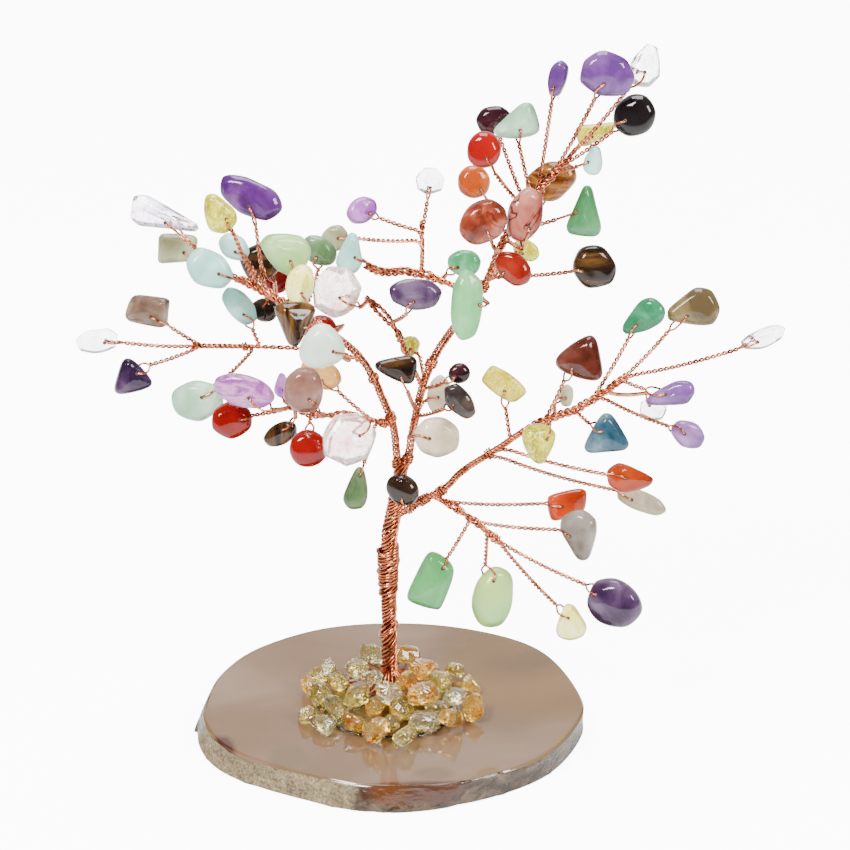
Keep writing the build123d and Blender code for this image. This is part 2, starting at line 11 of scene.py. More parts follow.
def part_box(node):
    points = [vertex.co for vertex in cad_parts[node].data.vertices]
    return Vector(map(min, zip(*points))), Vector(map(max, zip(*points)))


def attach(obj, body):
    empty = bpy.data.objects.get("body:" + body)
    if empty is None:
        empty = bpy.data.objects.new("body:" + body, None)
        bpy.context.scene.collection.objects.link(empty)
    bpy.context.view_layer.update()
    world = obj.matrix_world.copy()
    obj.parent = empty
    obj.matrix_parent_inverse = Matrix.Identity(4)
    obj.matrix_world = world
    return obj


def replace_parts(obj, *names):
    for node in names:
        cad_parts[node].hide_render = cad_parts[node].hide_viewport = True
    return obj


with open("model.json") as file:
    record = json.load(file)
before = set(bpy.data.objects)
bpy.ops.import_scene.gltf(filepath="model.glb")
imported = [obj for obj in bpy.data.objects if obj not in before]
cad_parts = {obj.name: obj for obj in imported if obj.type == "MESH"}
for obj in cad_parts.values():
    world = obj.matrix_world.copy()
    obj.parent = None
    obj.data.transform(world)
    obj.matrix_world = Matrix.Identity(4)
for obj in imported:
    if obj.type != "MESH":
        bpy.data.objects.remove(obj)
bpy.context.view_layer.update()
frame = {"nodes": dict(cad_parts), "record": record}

# Agate slice. The base is one slice of banded agate, sawn flat and polished on top.
# Its edge is the nodule's own skin: sandy and rough at the front and left,
# glassy where it was chipped, with a thin yellowish rim towards the back.

MM = 0.001
SAME_PLACE = 0.001 * MM
TOUCH = 0.01 * MM
SLICE_ROUNDING = 3
WALL_CUTS = 1
WALL_TILT = 0.6
UPRIGHT_RISE = 0.2 * MM
SHARP_ANGLE = 0.5
SLICE_CREASE = 0.93
TOP_BORDER = 3 * MM
RIND_CORNER = -6 * MM
RIND_LUMPS = 0.7 * MM
CHIPPED_LUMPS = 0.35 * MM
LUMP_SCALE = 330
LUMP_LIMIT = 0.3
LUMP_GAIN = 1.6
LUMP_SINK = 0.25
PLAIN_FOOT = 0.4 * MM
PLAIN_BRINK = 0.2 * MM


def merged_copy(node):
    """The mesh of a node of the frame, with its loose triangles joined."""
    joined = bmesh.new()
    joined.from_mesh(frame["nodes"][node].data)
    bmesh.ops.remove_doubles(joined, verts=joined.verts, dist=SAME_PLACE)
    return joined


def flattened(shape, degrees):
    """Joins the triangles that lie in one flat face."""
    bmesh.ops.dissolve_limit(shape, angle_limit=math.radians(degrees), verts=shape.verts, edges=shape.edges)
    return shape


def in_scene(name, data):
    """A new object that holds a mesh, a light or a camera."""
    made = bpy.data.objects.new(name, data)
    bpy.context.collection.objects.link(made)
    return made


def piece_from(joined, name, materials, levels, body="tree", smooth=True):
    """A finished piece from a bmesh, rounded off."""
    mesh = bpy.data.meshes.new(name)
    joined.to_mesh(mesh)
    joined.free()
    for material in materials:
        mesh.materials.append(material)
    if smooth:
        mesh.shade_smooth()
    made = in_scene(name, mesh)
    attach(made, body)
    rounding = made.modifiers.new("rounding", "SUBSURF")
    rounding.levels = levels
    rounding.render_levels = levels
    return made


class Finish:
    """A material's nodes, wired up one step at a time."""

    def __init__(self, name, roughness, **sockets):
        self.material = bpy.data.materials.new(name)
        self.material.use_nodes = True
        self.nodes = self.material.node_tree.nodes
        self.links = self.material.node_tree.links
        self.shader = self.nodes["Principled BSDF"]
        self.shader.inputs["Roughness"].default_value = roughness
        for socket, value in sockets.items():
            self.shader.inputs[socket.replace("_", " ")].default_value = value
        self.place = self.nodes.new("ShaderNodeTexCoord").outputs["Object"]

    def node(self, kind, **sockets):
        """A new node with its plain sockets set."""
        made = self.nodes.new(kind)
        for socket, value in sockets.items():
            made.inputs[socket.replace("_", " ")].default_value = value
        return made

    def moved(self, stretch=(1, 1, 1), shift=(0, 0, 0), turn=(0, 0, 0)):
        mapping = self.node("ShaderNodeMapping", Scale=stretch, Location=shift, Rotation=turn)
        self.links.new(self.place, mapping.inputs["Vector"])
        return mapping.outputs["Vector"]

    def noise(self, scale, detail=3, distortion=0.0, stretch=(1, 1, 1), turn=(0, 0, 0)):
        texture = self.node("ShaderNodeTexNoise", Scale=scale, Detail=detail, Distortion=distortion)
        self.links.new(self.moved(stretch, turn=turn), texture.inputs["Vector"])
        return texture.outputs["Fac"]

    def spot(self, place, size):
        """One at a place, falling to nothing at a distance from it."""
        ball = self.nodes.new("ShaderNodeTexGradient")
        ball.gradient_type = "SPHERICAL"
        stretch = [1 / across for across in size]
        shift = [-at * share for at, share in zip(place, stretch)]
        self.links.new(self.moved(stretch, shift), ball.inputs["Vector"])
        return ball.outputs["Fac"]

    def both(self, first, second, operation="MULTIPLY"):
        joint = self.nodes.new("ShaderNodeMath")
        joint.operation = operation
        for value, socket in ((first, joint.inputs[0]), (second, joint.inputs[1])):
            if isinstance(value, (int, float)):
                socket.default_value = value
            else:
                self.links.new(value, socket)
        return joint.outputs["Value"]

    def spread(self, value, **limits):
        """A value spread out from one range to another."""
        made = self.node("ShaderNodeMapRange", **limits)
        self.links.new(value, made.inputs["Value"])
        return made.outputs["Result"]

    def between(self, value, low, high):
        """Nothing below a low value, one above a high one."""
        return self.spread(value, From_Min=low, From_Max=high)

    def ramp(self, value, *stops):
        ramp = self.nodes.new("ShaderNodeValToRGB")
        elements = ramp.color_ramp.elements
        while len(elements) < len(stops):
            elements.new(0.5)
        for element, (position, colour) in zip(elements, stops):
            element.position = position
            element.color = (*colour, 1)
        self.links.new(value, ramp.inputs["Fac"])
        return ramp.outputs["Color"]

    def mix(self, share, first, second):
        mixed = self.nodes.new("ShaderNodeMix")
        mixed.data_type = "RGBA"
        self.links.new(share, mixed.inputs["Factor"])
        for colour, socket in ((first, mixed.inputs["A"]), (second, mixed.inputs["B"])):
            if isinstance(colour, tuple):
                socket.default_value = (*colour, 1)
            else:
                self.links.new(colour, socket)
        return mixed.outputs["Result"]

    def paint(self, colour):
        self.links.new(colour, self.shader.inputs["Base Color"])
        return self

    def rough(self, value, low, high):
        self.links.new(self.spread(value, To_Min=low, To_Max=high), self.shader.inputs["Roughness"])
        return self

    def bump(self, value, distance, strength=1.0):
        bump = self.node("ShaderNodeBump", Distance=distance, Strength=strength)
        self.links.new(value, bump.inputs["Height"])
        self.links.new(bump.outputs["Normal"], self.shader.inputs["Normal"])
        return self


slice_low, slice_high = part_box("agate_slice")
SLICE_TOP = slice_high.z
BROWN_AGATE, TAUPE_AGATE, PALE_AGATE = (0.13, 0.068, 0.03), (0.155, 0.089, 0.047), (0.19, 0.123, 0.079)
YELLOWISH_RIM = (0.12, 0.075, 0.022)
RIM_MIDDLE, RIM_REACH = (0, 1 * MM, SLICE_TOP), (46.5 * MM, 41 * MM, 60 * MM)
SPOTS = [
    # middle, reach, colour, how far in it begins: brown by the left edge, two smoky blotches,
    # the sandy right side, then the dark red zone and the orange one at the front edge
    ((-39.5 * MM, -20.5 * MM, SLICE_TOP), (5 * MM, 8 * MM, 9 * MM), (0.05, 0.014, 0.007), 0.2),
    ((-23.5 * MM, -23.5 * MM, SLICE_TOP), (6 * MM, 8 * MM, 9 * MM), (0.135, 0.085, 0.045), 0.25),
    ((9.5 * MM, -30.5 * MM, SLICE_TOP), (7 * MM, 4 * MM, 9 * MM), (0.14, 0.085, 0.045), 0.3),
    ((34 * MM, 20 * MM, SLICE_TOP), (30 * MM, 32 * MM, 9 * MM), (0.145, 0.078, 0.027), 0.15),
    ((12 * MM, -37.5 * MM, SLICE_TOP), (24 * MM, 4.5 * MM, 6 * MM), (0.06, 0.022, 0.011), 0.12),
    ((0 * MM, -37.5 * MM, SLICE_TOP), (7 * MM, 4 * MM, 6 * MM), (0.085, 0.026, 0.006), 0.25),
]
FRONT_SPOTS = SPOTS[-2:]
SPOT_FADE_OUT, SPOT_FADE_IN = 0.1, 0.2


def with_spots(finish, colour, spots):
    """Lays ragged spots of colour over a ground colour."""
    ragged = finish.noise(240, detail=4, distortion=0.5)
    for place, reach, spot_colour, edge in spots:
        inside = finish.both(finish.spot(place, reach), finish.both(ragged, 0.5, "ADD"))
        spotted = finish.between(inside, edge - SPOT_FADE_OUT, edge + SPOT_FADE_IN)
        colour = finish.mix(spotted, colour, spot_colour)
    return colour


polished = Finish("agate_polished", 0.05, Coat_Weight=0.3, Coat_Roughness=0.03)
clouds = polished.noise(26, detail=2, distortion=0.5, stretch=(0.8, 1.3, 1.0))
agate = polished.ramp(clouds, (0.32, BROWN_AGATE), (0.5, TAUPE_AGATE), (0.68, PALE_AGATE))
within_rim = polished.between(polished.spot(RIM_MIDDLE, RIM_REACH), low=0.02, high=0.09)
agate = polished.mix(within_rim, YELLOWISH_RIM, agate)
polished.paint(with_spots(polished, agate, SPOTS))

# The wall is sandy rind at the front left, glassy chipped agate at the front right, pale behind.
WALL_PALE = (0.25, 0.17, 0.08)
PALE_MIDDLE, PALE_REACH = (4 * MM, 60 * MM, 0), (80 * MM, 66 * MM, 60 * MM)
RIND_MIDDLE, RIND_REACH = (-31 * MM, -31 * MM, 0), (29 * MM, 36 * MM, 40 * MM)

wall = Finish("agate_wall", 0.4)
fine_grains = wall.both(wall.noise(1500, detail=4), 0.6)
coarse_grains = wall.both(wall.noise(350, detail=5), 0.4)
grains = wall.both(fine_grains, coarse_grains, "ADD")
sand = wall.ramp(
    grains, (0.4, (0.09, 0.062, 0.03)), (0.47, (0.17, 0.125, 0.062)), (0.55, (0.21, 0.16, 0.085)),
    (0.63, (0.34, 0.27, 0.16)))
chipping = wall.noise(260, detail=5, distortion=0.6, stretch=(1, 1, 1.8))
glassy = wall.ramp(
    chipping, (0.36, (0.02, 0.012, 0.007)), (0.48, (0.05, 0.029, 0.015)), (0.6, (0.09, 0.054, 0.028)),
    (0.78, (0.2, 0.15, 0.1)))
glassy = with_spots(wall, glassy, FRONT_SPOTS)
pale_back = wall.between(wall.spot(PALE_MIDDLE, PALE_REACH), low=0.25, high=0.4)
glassy = wall.mix(pale_back, glassy, WALL_PALE)
ragged_rind = wall.both(wall.spot(RIND_MIDDLE, RIND_REACH), wall.noise(180, detail=4))
rind = wall.between(ragged_rind, low=0.08, high=0.13)
wall.paint(wall.mix(rind, glassy, sand)).rough(rind, low=0.16, high=0.8)
wall.bump(wall.both(wall.both(grains, rind), chipping, "ADD"), distance=0.6 * MM)

slab = flattened(merged_copy("agate_slice"), 2)
walls = [face for face in slab.faces if abs(face.normal.z) < WALL_TILT]
wall_edges = dict.fromkeys(edge for face in walls for edge in face.edges)
upright = [edge for edge in wall_edges if abs(edge.verts[0].co.z - edge.verts[1].co.z) > UPRIGHT_RISE]
bmesh.ops.subdivide_edges(slab, edges=upright, cuts=WALL_CUTS, use_grid_fill=True)
crease = slab.edges.layers.float.new("crease_edge")
for vertex in slab.verts:
    if slice_low.z + PLAIN_FOOT < vertex.co.z < slice_high.z - PLAIN_BRINK:
        outward = Vector((vertex.co.x, vertex.co.y, 0)).normalized()
        is_rind = vertex.co.x < RIND_CORNER and vertex.co.y < RIND_CORNER
        lump = min(noise.noise(vertex.co * LUMP_SCALE), LUMP_LIMIT) * LUMP_GAIN - LUMP_SINK
        vertex.co += outward * lump * (RIND_LUMPS if is_rind else CHIPPED_LUMPS)
top_face = max(slab.faces, key=lambda face: face.calc_center_median().z)
for edge in slab.edges:
    is_level = abs(edge.verts[0].co.z - edge.verts[1].co.z) < TOUCH
    if is_level and len(edge.link_faces) == 2 and edge.calc_face_angle(0) > SHARP_ANGLE:
        edge[crease] = SLICE_CREASE
bmesh.ops.inset_region(slab, faces=[top_face], thickness=TOP_BORDER)
for face in slab.faces:
    face.material_index = 0 if abs(face.normal.z) > WALL_TILT else 1
agate_slice = piece_from(slab, "agate_slice_body", [polished.material, wall.material], SLICE_ROUNDING)
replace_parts(agate_slice, "agate_slice")

# Glue bed. A puddle of clear glue that has set hard under the chips.
# It wets the polished slice and holds the chips and the root wires.

PUDDLE_ROUNDING = 2
PUDDLE_SHARE = 0.8
PUDDLE_WAVES = 0.14
PUDDLE_SCALE = 120

clear_glue = Finish("clear_glue", 0.05, Transmission_Weight=1.0, IOR=1.3)
clear_glue.paint(clear_glue.ramp(
    clear_glue.noise(200), (0.3, (0.86, 0.77, 0.58)), (0.7, (0.96, 0.93, 0.86))))
puddle = flattened(merged_copy("glue_bed"), 2)
puddle_low, puddle_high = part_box("glue_bed")
puddle_middle = (puddle_low + puddle_high) / 2
for vertex in puddle.verts:
    shrink = PUDDLE_SHARE + PUDDLE_WAVES * noise.noise(vertex.co * PUDDLE_SCALE)
    vertex.co.x = puddle_middle.x + (vertex.co.x - puddle_middle.x) * shrink
    vertex.co.y = puddle_middle.y + (vertex.co.y - puddle_middle.y) * shrink
glue_bed = piece_from(puddle, "glue_puddle", [clear_glue.material], PUDDLE_ROUNDING)
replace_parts(glue_bed, "glue_bed")

# Foot chips. Small tumbled chips of honey, pale and clear citrine and quartz.
# They are glued in a low heap round the trunk's foot, each one a different lump.

CHIP_ROUNDING = 1
CHIP_SWELL = 1.1
CHIP_SWELL_RANGE = 0.5
CHIP_DENTS = 0.2
CHIP_TILT = 1.6
CHIP_STRAY = 1.4 * MM
CHIP_SINK = 0.25 * MM
DENT_SCALE = 220
STRAY_SCALE = 900
HEAP_WIDENING, HEAP_DEEPENING = 0.13, 0.02
PUDDLE_INSIDE = 0.72
SEED_STEPS = (1.7, 0.9, 2.3)
TURN_SEED = 3.1
NOISE_ROW = 31.7
VARIETY_STEP = 0.37


def solids_of(node):
    """The separate solids of a node: each as its corner points and its flat faces."""
    joined = merged_copy(node)
    joined.verts.index_update()
    seen_verts, found = set(), []
    for first in joined.verts:
        if first in seen_verts:
            continue
        reached, edge_of_search = {first}, [first]
        while edge_of_search:
            for edge in edge_of_search.pop().link_edges:
                for vertex in edge.verts:
                    if vertex not in reached:
                        reached.add(vertex)
                        edge_of_search.append(vertex)
        seen_verts |= reached
        in_order = sorted(reached, key=lambda vertex: vertex.index)
        faces = dict.fromkeys(face for vertex in in_order for face in vertex.link_faces)
        points = np.array([tuple(vertex.co) for vertex in in_order])
        planes = [(np.array(face.verts[0].co), np.array(face.normal),
                   [tuple(vertex.co) for vertex in face.verts]) for face in faces]
        found.append((points, planes))
    joined.free()
    return sorted(found, key=lambda solid: solid[0][:, 0].mean())


def wobble(place):
    """Three noise values at a place, the same ones in every run."""
    return Vector([noise.noise(place + Vector((0, 0, NOISE_ROW * axis))) for axis in range(3)])


def seed_shift(seed):
    """The place in the noise that belongs to one chip or stone."""
    return Vector([seed * step for step in SEED_STEPS])


def hull_of(points, middle, swell):
    """A bmesh of the hull of a lump's corners, swollen about its middle."""
    lump = bmesh.new()
    for point in points:
        lump.verts.new(middle + (Vector(point) - middle) * swell)
    hull = bmesh.ops.convex_hull(lump, input=lump.verts)
    left_over = hull["geom_interior"] + hull["geom_unused"]
    spare = dict.fromkeys(item for item in left_over if isinstance(item, bmesh.types.BMVert))
    bmesh.ops.delete(lump, geom=list(spare), context="VERTS")
    return flattened(lump, 3)


def length_of(points):
    """A lump's size from corner to corner of its box."""
    return (Vector(points.max(axis=0)) - Vector(points.min(axis=0))).length


def add_to(heap, lump):
    """Adds a finished lump to the heap of its kind."""
    carrier = bpy.data.meshes.new("lump")
    lump.to_mesh(carrier)
    lump.free()
    heap.from_mesh(carrier)
    bpy.data.meshes.remove(carrier)


def tumbled(heap, points, swell, seed, moved, rest_on):
    """Adds one tumbled chip to a heap: its hull split up, dented, tilted and set down."""
    middle = Vector(points.mean(axis=0))
    size = length_of(points)
    lump = hull_of(points, middle, swell)
    bmesh.ops.subdivide_edges(lump, edges=lump.edges, cuts=1, use_grid_fill=True)
    shift = seed_shift(seed)
    tip = wobble(shift * TURN_SEED) * CHIP_TILT
    turn = Euler((tip.x, tip.y, 0)).to_matrix()
    for vertex in lump.verts:
        outward = (vertex.co - middle).normalized()
        vertex.co += outward * (noise.noise(vertex.co * DENT_SCALE + shift) * CHIP_DENTS * size)
        vertex.co = middle + turn @ (vertex.co - middle) + moved
    if rest_on is not None:
        drop = rest_on - min(vertex.co.z for vertex in lump.verts)
        bmesh.ops.translate(lump, verts=lump.verts, vec=(0, 0, drop))
    add_to(heap, lump)


def citrine_glass(name, deep, pale, light, clearness):
    """Clear to honey quartz, see-through, with cloudy veils."""
    finish = Finish(
        name, 0.06, Transmission_Weight=clearness, IOR=1.5, Coat_Weight=0.5, Coat_Roughness=0.03)
    veils = finish.noise(330, detail=4, distortion=0.8)
    finish.paint(finish.ramp(veils, (0.36, deep), (0.5, pale), (0.66, light)))
    finish.bump(finish.noise(300, detail=2, distortion=0.5), distance=0.3 * MM, strength=0.5)
    return finish.material


CHIP_FINISHES = {
    "honey_chips": ("honey_citrine", citrine_glass(
        "honey_citrine", (0.80, 0.30, 0.01), (0.88, 0.55, 0.08), (0.94, 0.80, 0.34), 0.9)),
    "pale_chips": ("pale_citrine", citrine_glass(
        "pale_citrine", (0.72, 0.48, 0.05), (0.86, 0.72, 0.20), (0.95, 0.90, 0.52), 0.95)),
    "clear_chips": ("clear_quartz", citrine_glass(
        "chip_quartz", (0.70, 0.58, 0.16), (0.88, 0.82, 0.46), (0.97, 0.95, 0.80), 0.95)),
}
puddle_reach = (puddle_high - puddle_low) / 2
for node, (slot, finish) in CHIP_FINISHES.items():
    heap = bmesh.new()
    for number, (points, _) in enumerate(solids_of(node)):
        out = Vector(points.mean(axis=0)) - puddle_middle
        stray = wobble(out * STRAY_SCALE) * CHIP_STRAY
        moved = Vector((out.x * HEAP_WIDENING + stray.x, out.y * HEAP_DEEPENING + stray.y, 0))
        swell = CHIP_SWELL + CHIP_SWELL_RANGE * (number * VARIETY_STEP % 1)
        beyond_puddle = math.hypot(out.x / puddle_reach.x, out.y / puddle_reach.y) > PUDDLE_INSIDE
        rest_on = SLICE_TOP - CHIP_SINK if beyond_puddle else None
        tumbled(heap, points, swell, number + len(node), moved, rest_on)
    chips = piece_from(heap, f"{node}_tumbled", [finish], CHIP_ROUNDING, smooth=False)
    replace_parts(chips, node)

# Trunk. Fourteen copper wires twisted together hard by hand, spread a little at the foot.
# Nine lie outside and five within. The lay isn't even: groups of wires ride over each other
# and the bundle swells and thins.

WIRE = 0.5 * MM
WIRE_SIDES = 2
TRUNK_SIDES = 8
TRUNK_STRANDS = 9
TRUNK_CORE_STRANDS = 5
TRUNK_WIRE = 0.33 * MM
TRUNK_REACH = 1.5 * MM
TRUNK_CORE_REACH = 0.55 * TRUNK_REACH
TRUNK_LAY = 9.5 * MM
TRUNK_STEP = 0.35 * MM
TRUNK_SWELL = (
    # share of the height, and the width there beside the usual one
    (0, 0.04, 0.14, 0.3, 0.45, 0.6, 0.72, 0.85, 1),
    (1.5, 1.25, 1.05, 0.98, 1.08, 1.0, 1.12, 1.02, 0.8))
CURVE_STEPS = 12
DRIFT_SCALE, DRIFT_ROWS = 90, 3.1
UNEVEN_SCALE, UNEVEN_ROWS = 160, 5.3
FIRST_SIDE = (0.3, 1, 0.2)

copper = Finish("copper_wire", 0.25, Metallic=1.0)
tarnish = copper.noise(420, detail=4)
copper.paint(copper.ramp(
    tarnish, (0.3, (0.17, 0.034, 0.012)), (0.46, (0.48, 0.14, 0.06)), (0.7, (0.82, 0.32, 0.17))))
copper.rough(copper.noise(900, detail=2), low=0.14, high=0.32)


def stations_of(points, sides):
    """The middle line of a bar from its corner points: rings of corners, in order along the bar."""
    left = [Vector(point) for point in points]
    start = max(left, key=lambda point: (point - left[0]).length)
    line = []
    while left:
        left.sort(key=lambda point: (point - start).length)
        ring, left = left[:sides], left[sides:]
        start = sum(ring, Vector()) / len(ring)
        line.append(start)
    return line


def run_along(line):
    """The distance along a line at each of its points."""
    return np.concatenate([[0], np.cumsum(np.linalg.norm(np.diff(line, axis=0), axis=1))])


def mesh_of(curve):
    """The mesh that a curve makes."""
    carrier = bpy.data.objects.new(curve.name, curve)
    mesh = bpy.data.meshes.new_from_object(carrier)
    bpy.data.objects.remove(carrier)
    return mesh


def smooth_line(places, step):
    """Points at even steps along a smooth curve through the given places."""
    curve = bpy.data.curves.new("line", "CURVE")
    curve.dimensions = "3D"
    spline = curve.splines.new("NURBS")
    spline.points.add(len(places) - 1)
    for point, place in zip(spline.points, places):
        point.co = (*place, 1)
    spline.order_u = 3
    spline.use_endpoint_u = True
    spline.resolution_u = CURVE_STEPS
    mesh = mesh_of(curve)
    dense = np.array([tuple(vertex.co) for vertex in mesh.vertices])
    bpy.data.curves.remove(curve)
    bpy.data.meshes.remove(mesh)
    run = run_along(dense)
    even = np.linspace(0, run[-1], max(int(run[-1] / step), 4))
    return np.stack([np.interp(even, run, dense[:, axis]) for axis in range(3)], axis=1)


def turned_frames(line):
    """At each point of a line, two directions across it that don't spin along it."""
    along = np.gradient(line, axis=0)
    along /= np.linalg.norm(along, axis=1)[:, None]
    side = np.cross(along[0], FIRST_SIDE)
    sides = []
    for heading in along:
        side = side - heading * side.dot(heading)
        side /= np.linalg.norm(side)
        sides.append(side)
    sides = np.array(sides)
    return sides, np.cross(along, sides)


def waver(distances, row, layer):
    """A slow noise along a wire, one value for each distance."""
    return np.array([noise.noise(Vector((at, row, layer))) for at in distances])


def twisted(line, strands, radius, lay, seed, swell=None, wander=0.5, uneven=0.1):
    """The strands of a twisted bundle along a line, never quite even."""
    run = run_along(line)
    across, beside = turned_frames(line)
    drift = waver(run * DRIFT_SCALE, seed * DRIFT_ROWS, 0.0) * wander
    strand_lines = []
    for number in range(strands):
        angle = math.tau * number / strands + run / lay * math.tau + drift
        reach = radius * (1 + uneven * waver(run * UNEVEN_SCALE, seed + number * UNEVEN_ROWS, 1.0))
        if swell is not None:
            reach = reach * np.interp(run / run[-1], *swell)
        strand_lines.append(
            line + across * (np.cos(angle) * reach)[:, None] + beside * (np.sin(angle) * reach)[:, None])
    return strand_lines


def wires_piece(name, strands, radius):
    """Round wires along lists of points, as one copper piece."""
    curve = bpy.data.curves.new(name, "CURVE")
    curve.dimensions = "3D"
    curve.bevel_depth = radius
    curve.bevel_resolution = WIRE_SIDES
    curve.use_fill_caps = True
    for strand in strands:
        spline = curve.splines.new("POLY")
        spline.points.add(len(strand) - 1)
        spline.points.foreach_set("co", np.hstack([strand, np.ones((len(strand), 1))]).ravel())
    mesh = mesh_of(curve)
    mesh.materials.clear()
    mesh.materials.append(copper.material)
    mesh.shade_smooth()
    made = in_scene(name, mesh)
    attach(made, "tree")
    return made


trunk_places = sorted(stations_of(solids_of("trunk_core")[0][0], TRUNK_SIDES), key=lambda place: place.z)
trunk_line = smooth_line(trunk_places, TRUNK_STEP)
trunk_strands = twisted(
    trunk_line, TRUNK_STRANDS, TRUNK_REACH, TRUNK_LAY, seed=1, swell=TRUNK_SWELL, wander=1.8, uneven=0.16)
trunk_strands += twisted(trunk_line, TRUNK_CORE_STRANDS, TRUNK_CORE_REACH, TRUNK_LAY, seed=5)
trunk = wires_piece("trunk_wires", trunk_strands, TRUNK_WIRE)
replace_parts(trunk, "trunk_core")

# Collar. One wire wound tightly round the upper trunk, over the twisted bundle.
# The turns lie close but not level, and a few cross over the others.

POINTS_PER_TURN = 20
COLLAR_ROOM = 1.06
COLLAR_UNEVEN = 0.06
WAVES_A_TURN = 0.9
COLLAR_WAVE = 0.3 * MM
COLLAR_TURNS = [
    # turns, widening, bottom and top above the collar's own, start angle, tilt
    (6, 1.0, 0.1 * MM, 4.7 * MM, 0.4, 0.35 * MM),
    (5, 1.05, 5.9 * MM, 9.8 * MM, 2.4, 0.7 * MM),
    (1, 1.18, 4.6 * MM, 5.6 * MM, 2.1, 1.2 * MM),
    (1, 1.16, 7.4 * MM, 8.2 * MM, 4.4, -0.9 * MM),
    (2, 0.95, -2.2 * MM, -0.4 * MM, 4.0, 0.9 * MM),
    (2, 0.95, -12.6 * MM, -11 * MM, 1.0, 1.2 * MM),
]
collar_low, collar_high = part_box("trunk_collar")
collar_middle = (collar_low + collar_high) / 2
collar_radius = (collar_high.x - collar_low.x) / 2 - WIRE / 2


def wound(turns, widening, bottom, top, start, tilt):
    """A wire wound round the trunk, each turn a little out of level."""
    low, high = collar_low.z + bottom, collar_low.z + top
    share = np.linspace(0, 1, turns * POINTS_PER_TURN)
    angle = share * turns * math.tau + start
    uneven = waver(share * turns * WAVES_A_TURN, start, 0.0)
    reach = collar_radius * COLLAR_ROOM * widening * (1 + COLLAR_UNEVEN * uneven)
    height = low + (high - low) * share + tilt * np.cos(angle) + COLLAR_WAVE * uneven
    return np.stack(
        [collar_middle.x + reach * np.cos(angle), collar_middle.y + reach * np.sin(angle), height], axis=1)


collar = wires_piece("trunk_collar_wire", [wound(*winding) for winding in COLLAR_TURNS], TRUNK_WIRE)
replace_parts(collar, "trunk_collar")

# Boughs. Each is the part of the trunk's wires that goes that way, twisted on by itself.
# Farther out a bough is loose: pairs of wires run side by side and cross before they part.
# Where wires leave it, one of them is wound round the bough.

BOUGHS = {
    # strands, their reach, length of a turn, share where it gets loose, pairs there, how far back it starts
    "left": (5, 0.68 * MM, 5.2 * MM, 0.66, 4, 4.5 * MM),
    "upright": (5, 0.72 * MM, 5 * MM, 0.66, 4, 4.5 * MM),
    "middle": (4, 0.46 * MM, 3.8 * MM, 0.3, 3, 1.4 * MM),
    "inner": (3, 0.36 * MM, 3.2 * MM, 0.5, 2, 1.2 * MM),
    "far_left": (3, 0.36 * MM, 3.3 * MM, 0.32, 1, 1.6 * MM),
    "lower_left": (3, 0.38 * MM, 3.3 * MM, 0.4, 2, 2.4 * MM),
    "lower_right": (5, 0.58 * MM, 4.4 * MM, 0.58, 3, 2.6 * MM),
    "low_spray": (3, 0.36 * MM, 3.2 * MM, 0.2, 2, 1.8 * MM),
    "back": (3, 0.34 * MM, 3.2 * MM, 0.3, 1, 1.2 * MM),
}
WRAPS = {
    # share along the bough and turns of each winding
    "left": ((0.04, 3), (0.22, 3), (0.4, 2)),
    "upright": ((0.05, 3), (0.34, 3), (0.6, 3)),
    "middle": ((0.06, 2),),
    "lower_left": ((0.1, 3), (0.4, 2)),
    "far_left": ((0.3, 1),),
    "lower_right": ((0.12, 4), (0.2, 3), (0.42, 2)),
    "low_spray": ((0.35, 2),),
}
FROM_TRUNK = ("left", "upright")
DOWNWARD = ("far_left", "low_spray")
BOUGH_SIDES = 6
BOUGH_STEP = 0.3 * MM
BOUGH_WIRE = WIRE * 0.54
BOUGH_SWELL = ((0, 0.5, 1), (1.08, 1.0, 0.86))
LOOSE_OVERLAP = 6
LOOSE_REACH = 0.62 * MM
LOOSE_LAY = 17 * MM
LOOSE_SWELL = ((0, 0.2, 1), (0.7, 1.0, 1.0))
TOWARD_BOUGH = 0.2
PAIR_REACH = 0.29 * MM
PAIR_LAY = 3.3 * MM
WRAP_PITCH = 0.62 * MM
WRAP_OUT = WIRE * 0.95
WRAP_STEP = 0.04 * MM

bough_lines = {}
for seed, (bough, (strands, reach, lay, loose_from, pairs, back)) in enumerate(BOUGHS.items()):
    places = stations_of(solids_of(f"{bough}_bough")[0][0], BOUGH_SIDES)
    if (places[0].z > places[-1].z) != (bough in DOWNWARD):
        places = places[::-1]
    if bough in FROM_TRUNK:
        tail = trunk_places[-1] - (trunk_places[-1] - trunk_places[-2]).normalized() * back
        tail = tail + (places[0] - tail) * TOWARD_BOUGH
    else:
        tail = places[0] - (places[1] - places[0]).normalized() * back
    line = smooth_line([tail, *places], BOUGH_STEP)
    bough_lines[bough] = line
    split = int(len(line) * loose_from)
    made = twisted(
        line[:split + LOOSE_OVERLAP], strands, reach, lay, seed + 3, BOUGH_SWELL, wander=1.2, uneven=0.16)
    centres = [line[split:]]
    if pairs > 1:
        centres = twisted(
            centres[0], pairs, LOOSE_REACH, LOOSE_LAY, seed + 20, LOOSE_SWELL, wander=2.0, uneven=0.5)
    for number, centre in enumerate(centres):
        made += twisted(centre, 2, PAIR_REACH, PAIR_LAY, seed + number * 7)
    for share, turns in WRAPS.get(bough, ()):
        start = int(len(line) * share)
        count = max(int(turns * WRAP_PITCH / BOUGH_STEP), 3)
        stretch = smooth_line([Vector(point) for point in line[start:start + count + 1]], WRAP_STEP)
        made += twisted(stretch, 1, reach + WRAP_OUT, WRAP_PITCH, seed + share, wander=0.3, uneven=0.2)
    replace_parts(wires_piece(f"{bough}_bough_wires", made, BOUGH_WIRE), f"{bough}_bough")

# Twigs and stones. Each stone is drilled through, near its edge or nearer its middle. A wire goes
# over its face, through the hole and back behind it, and its legs are twisted together to the bough.

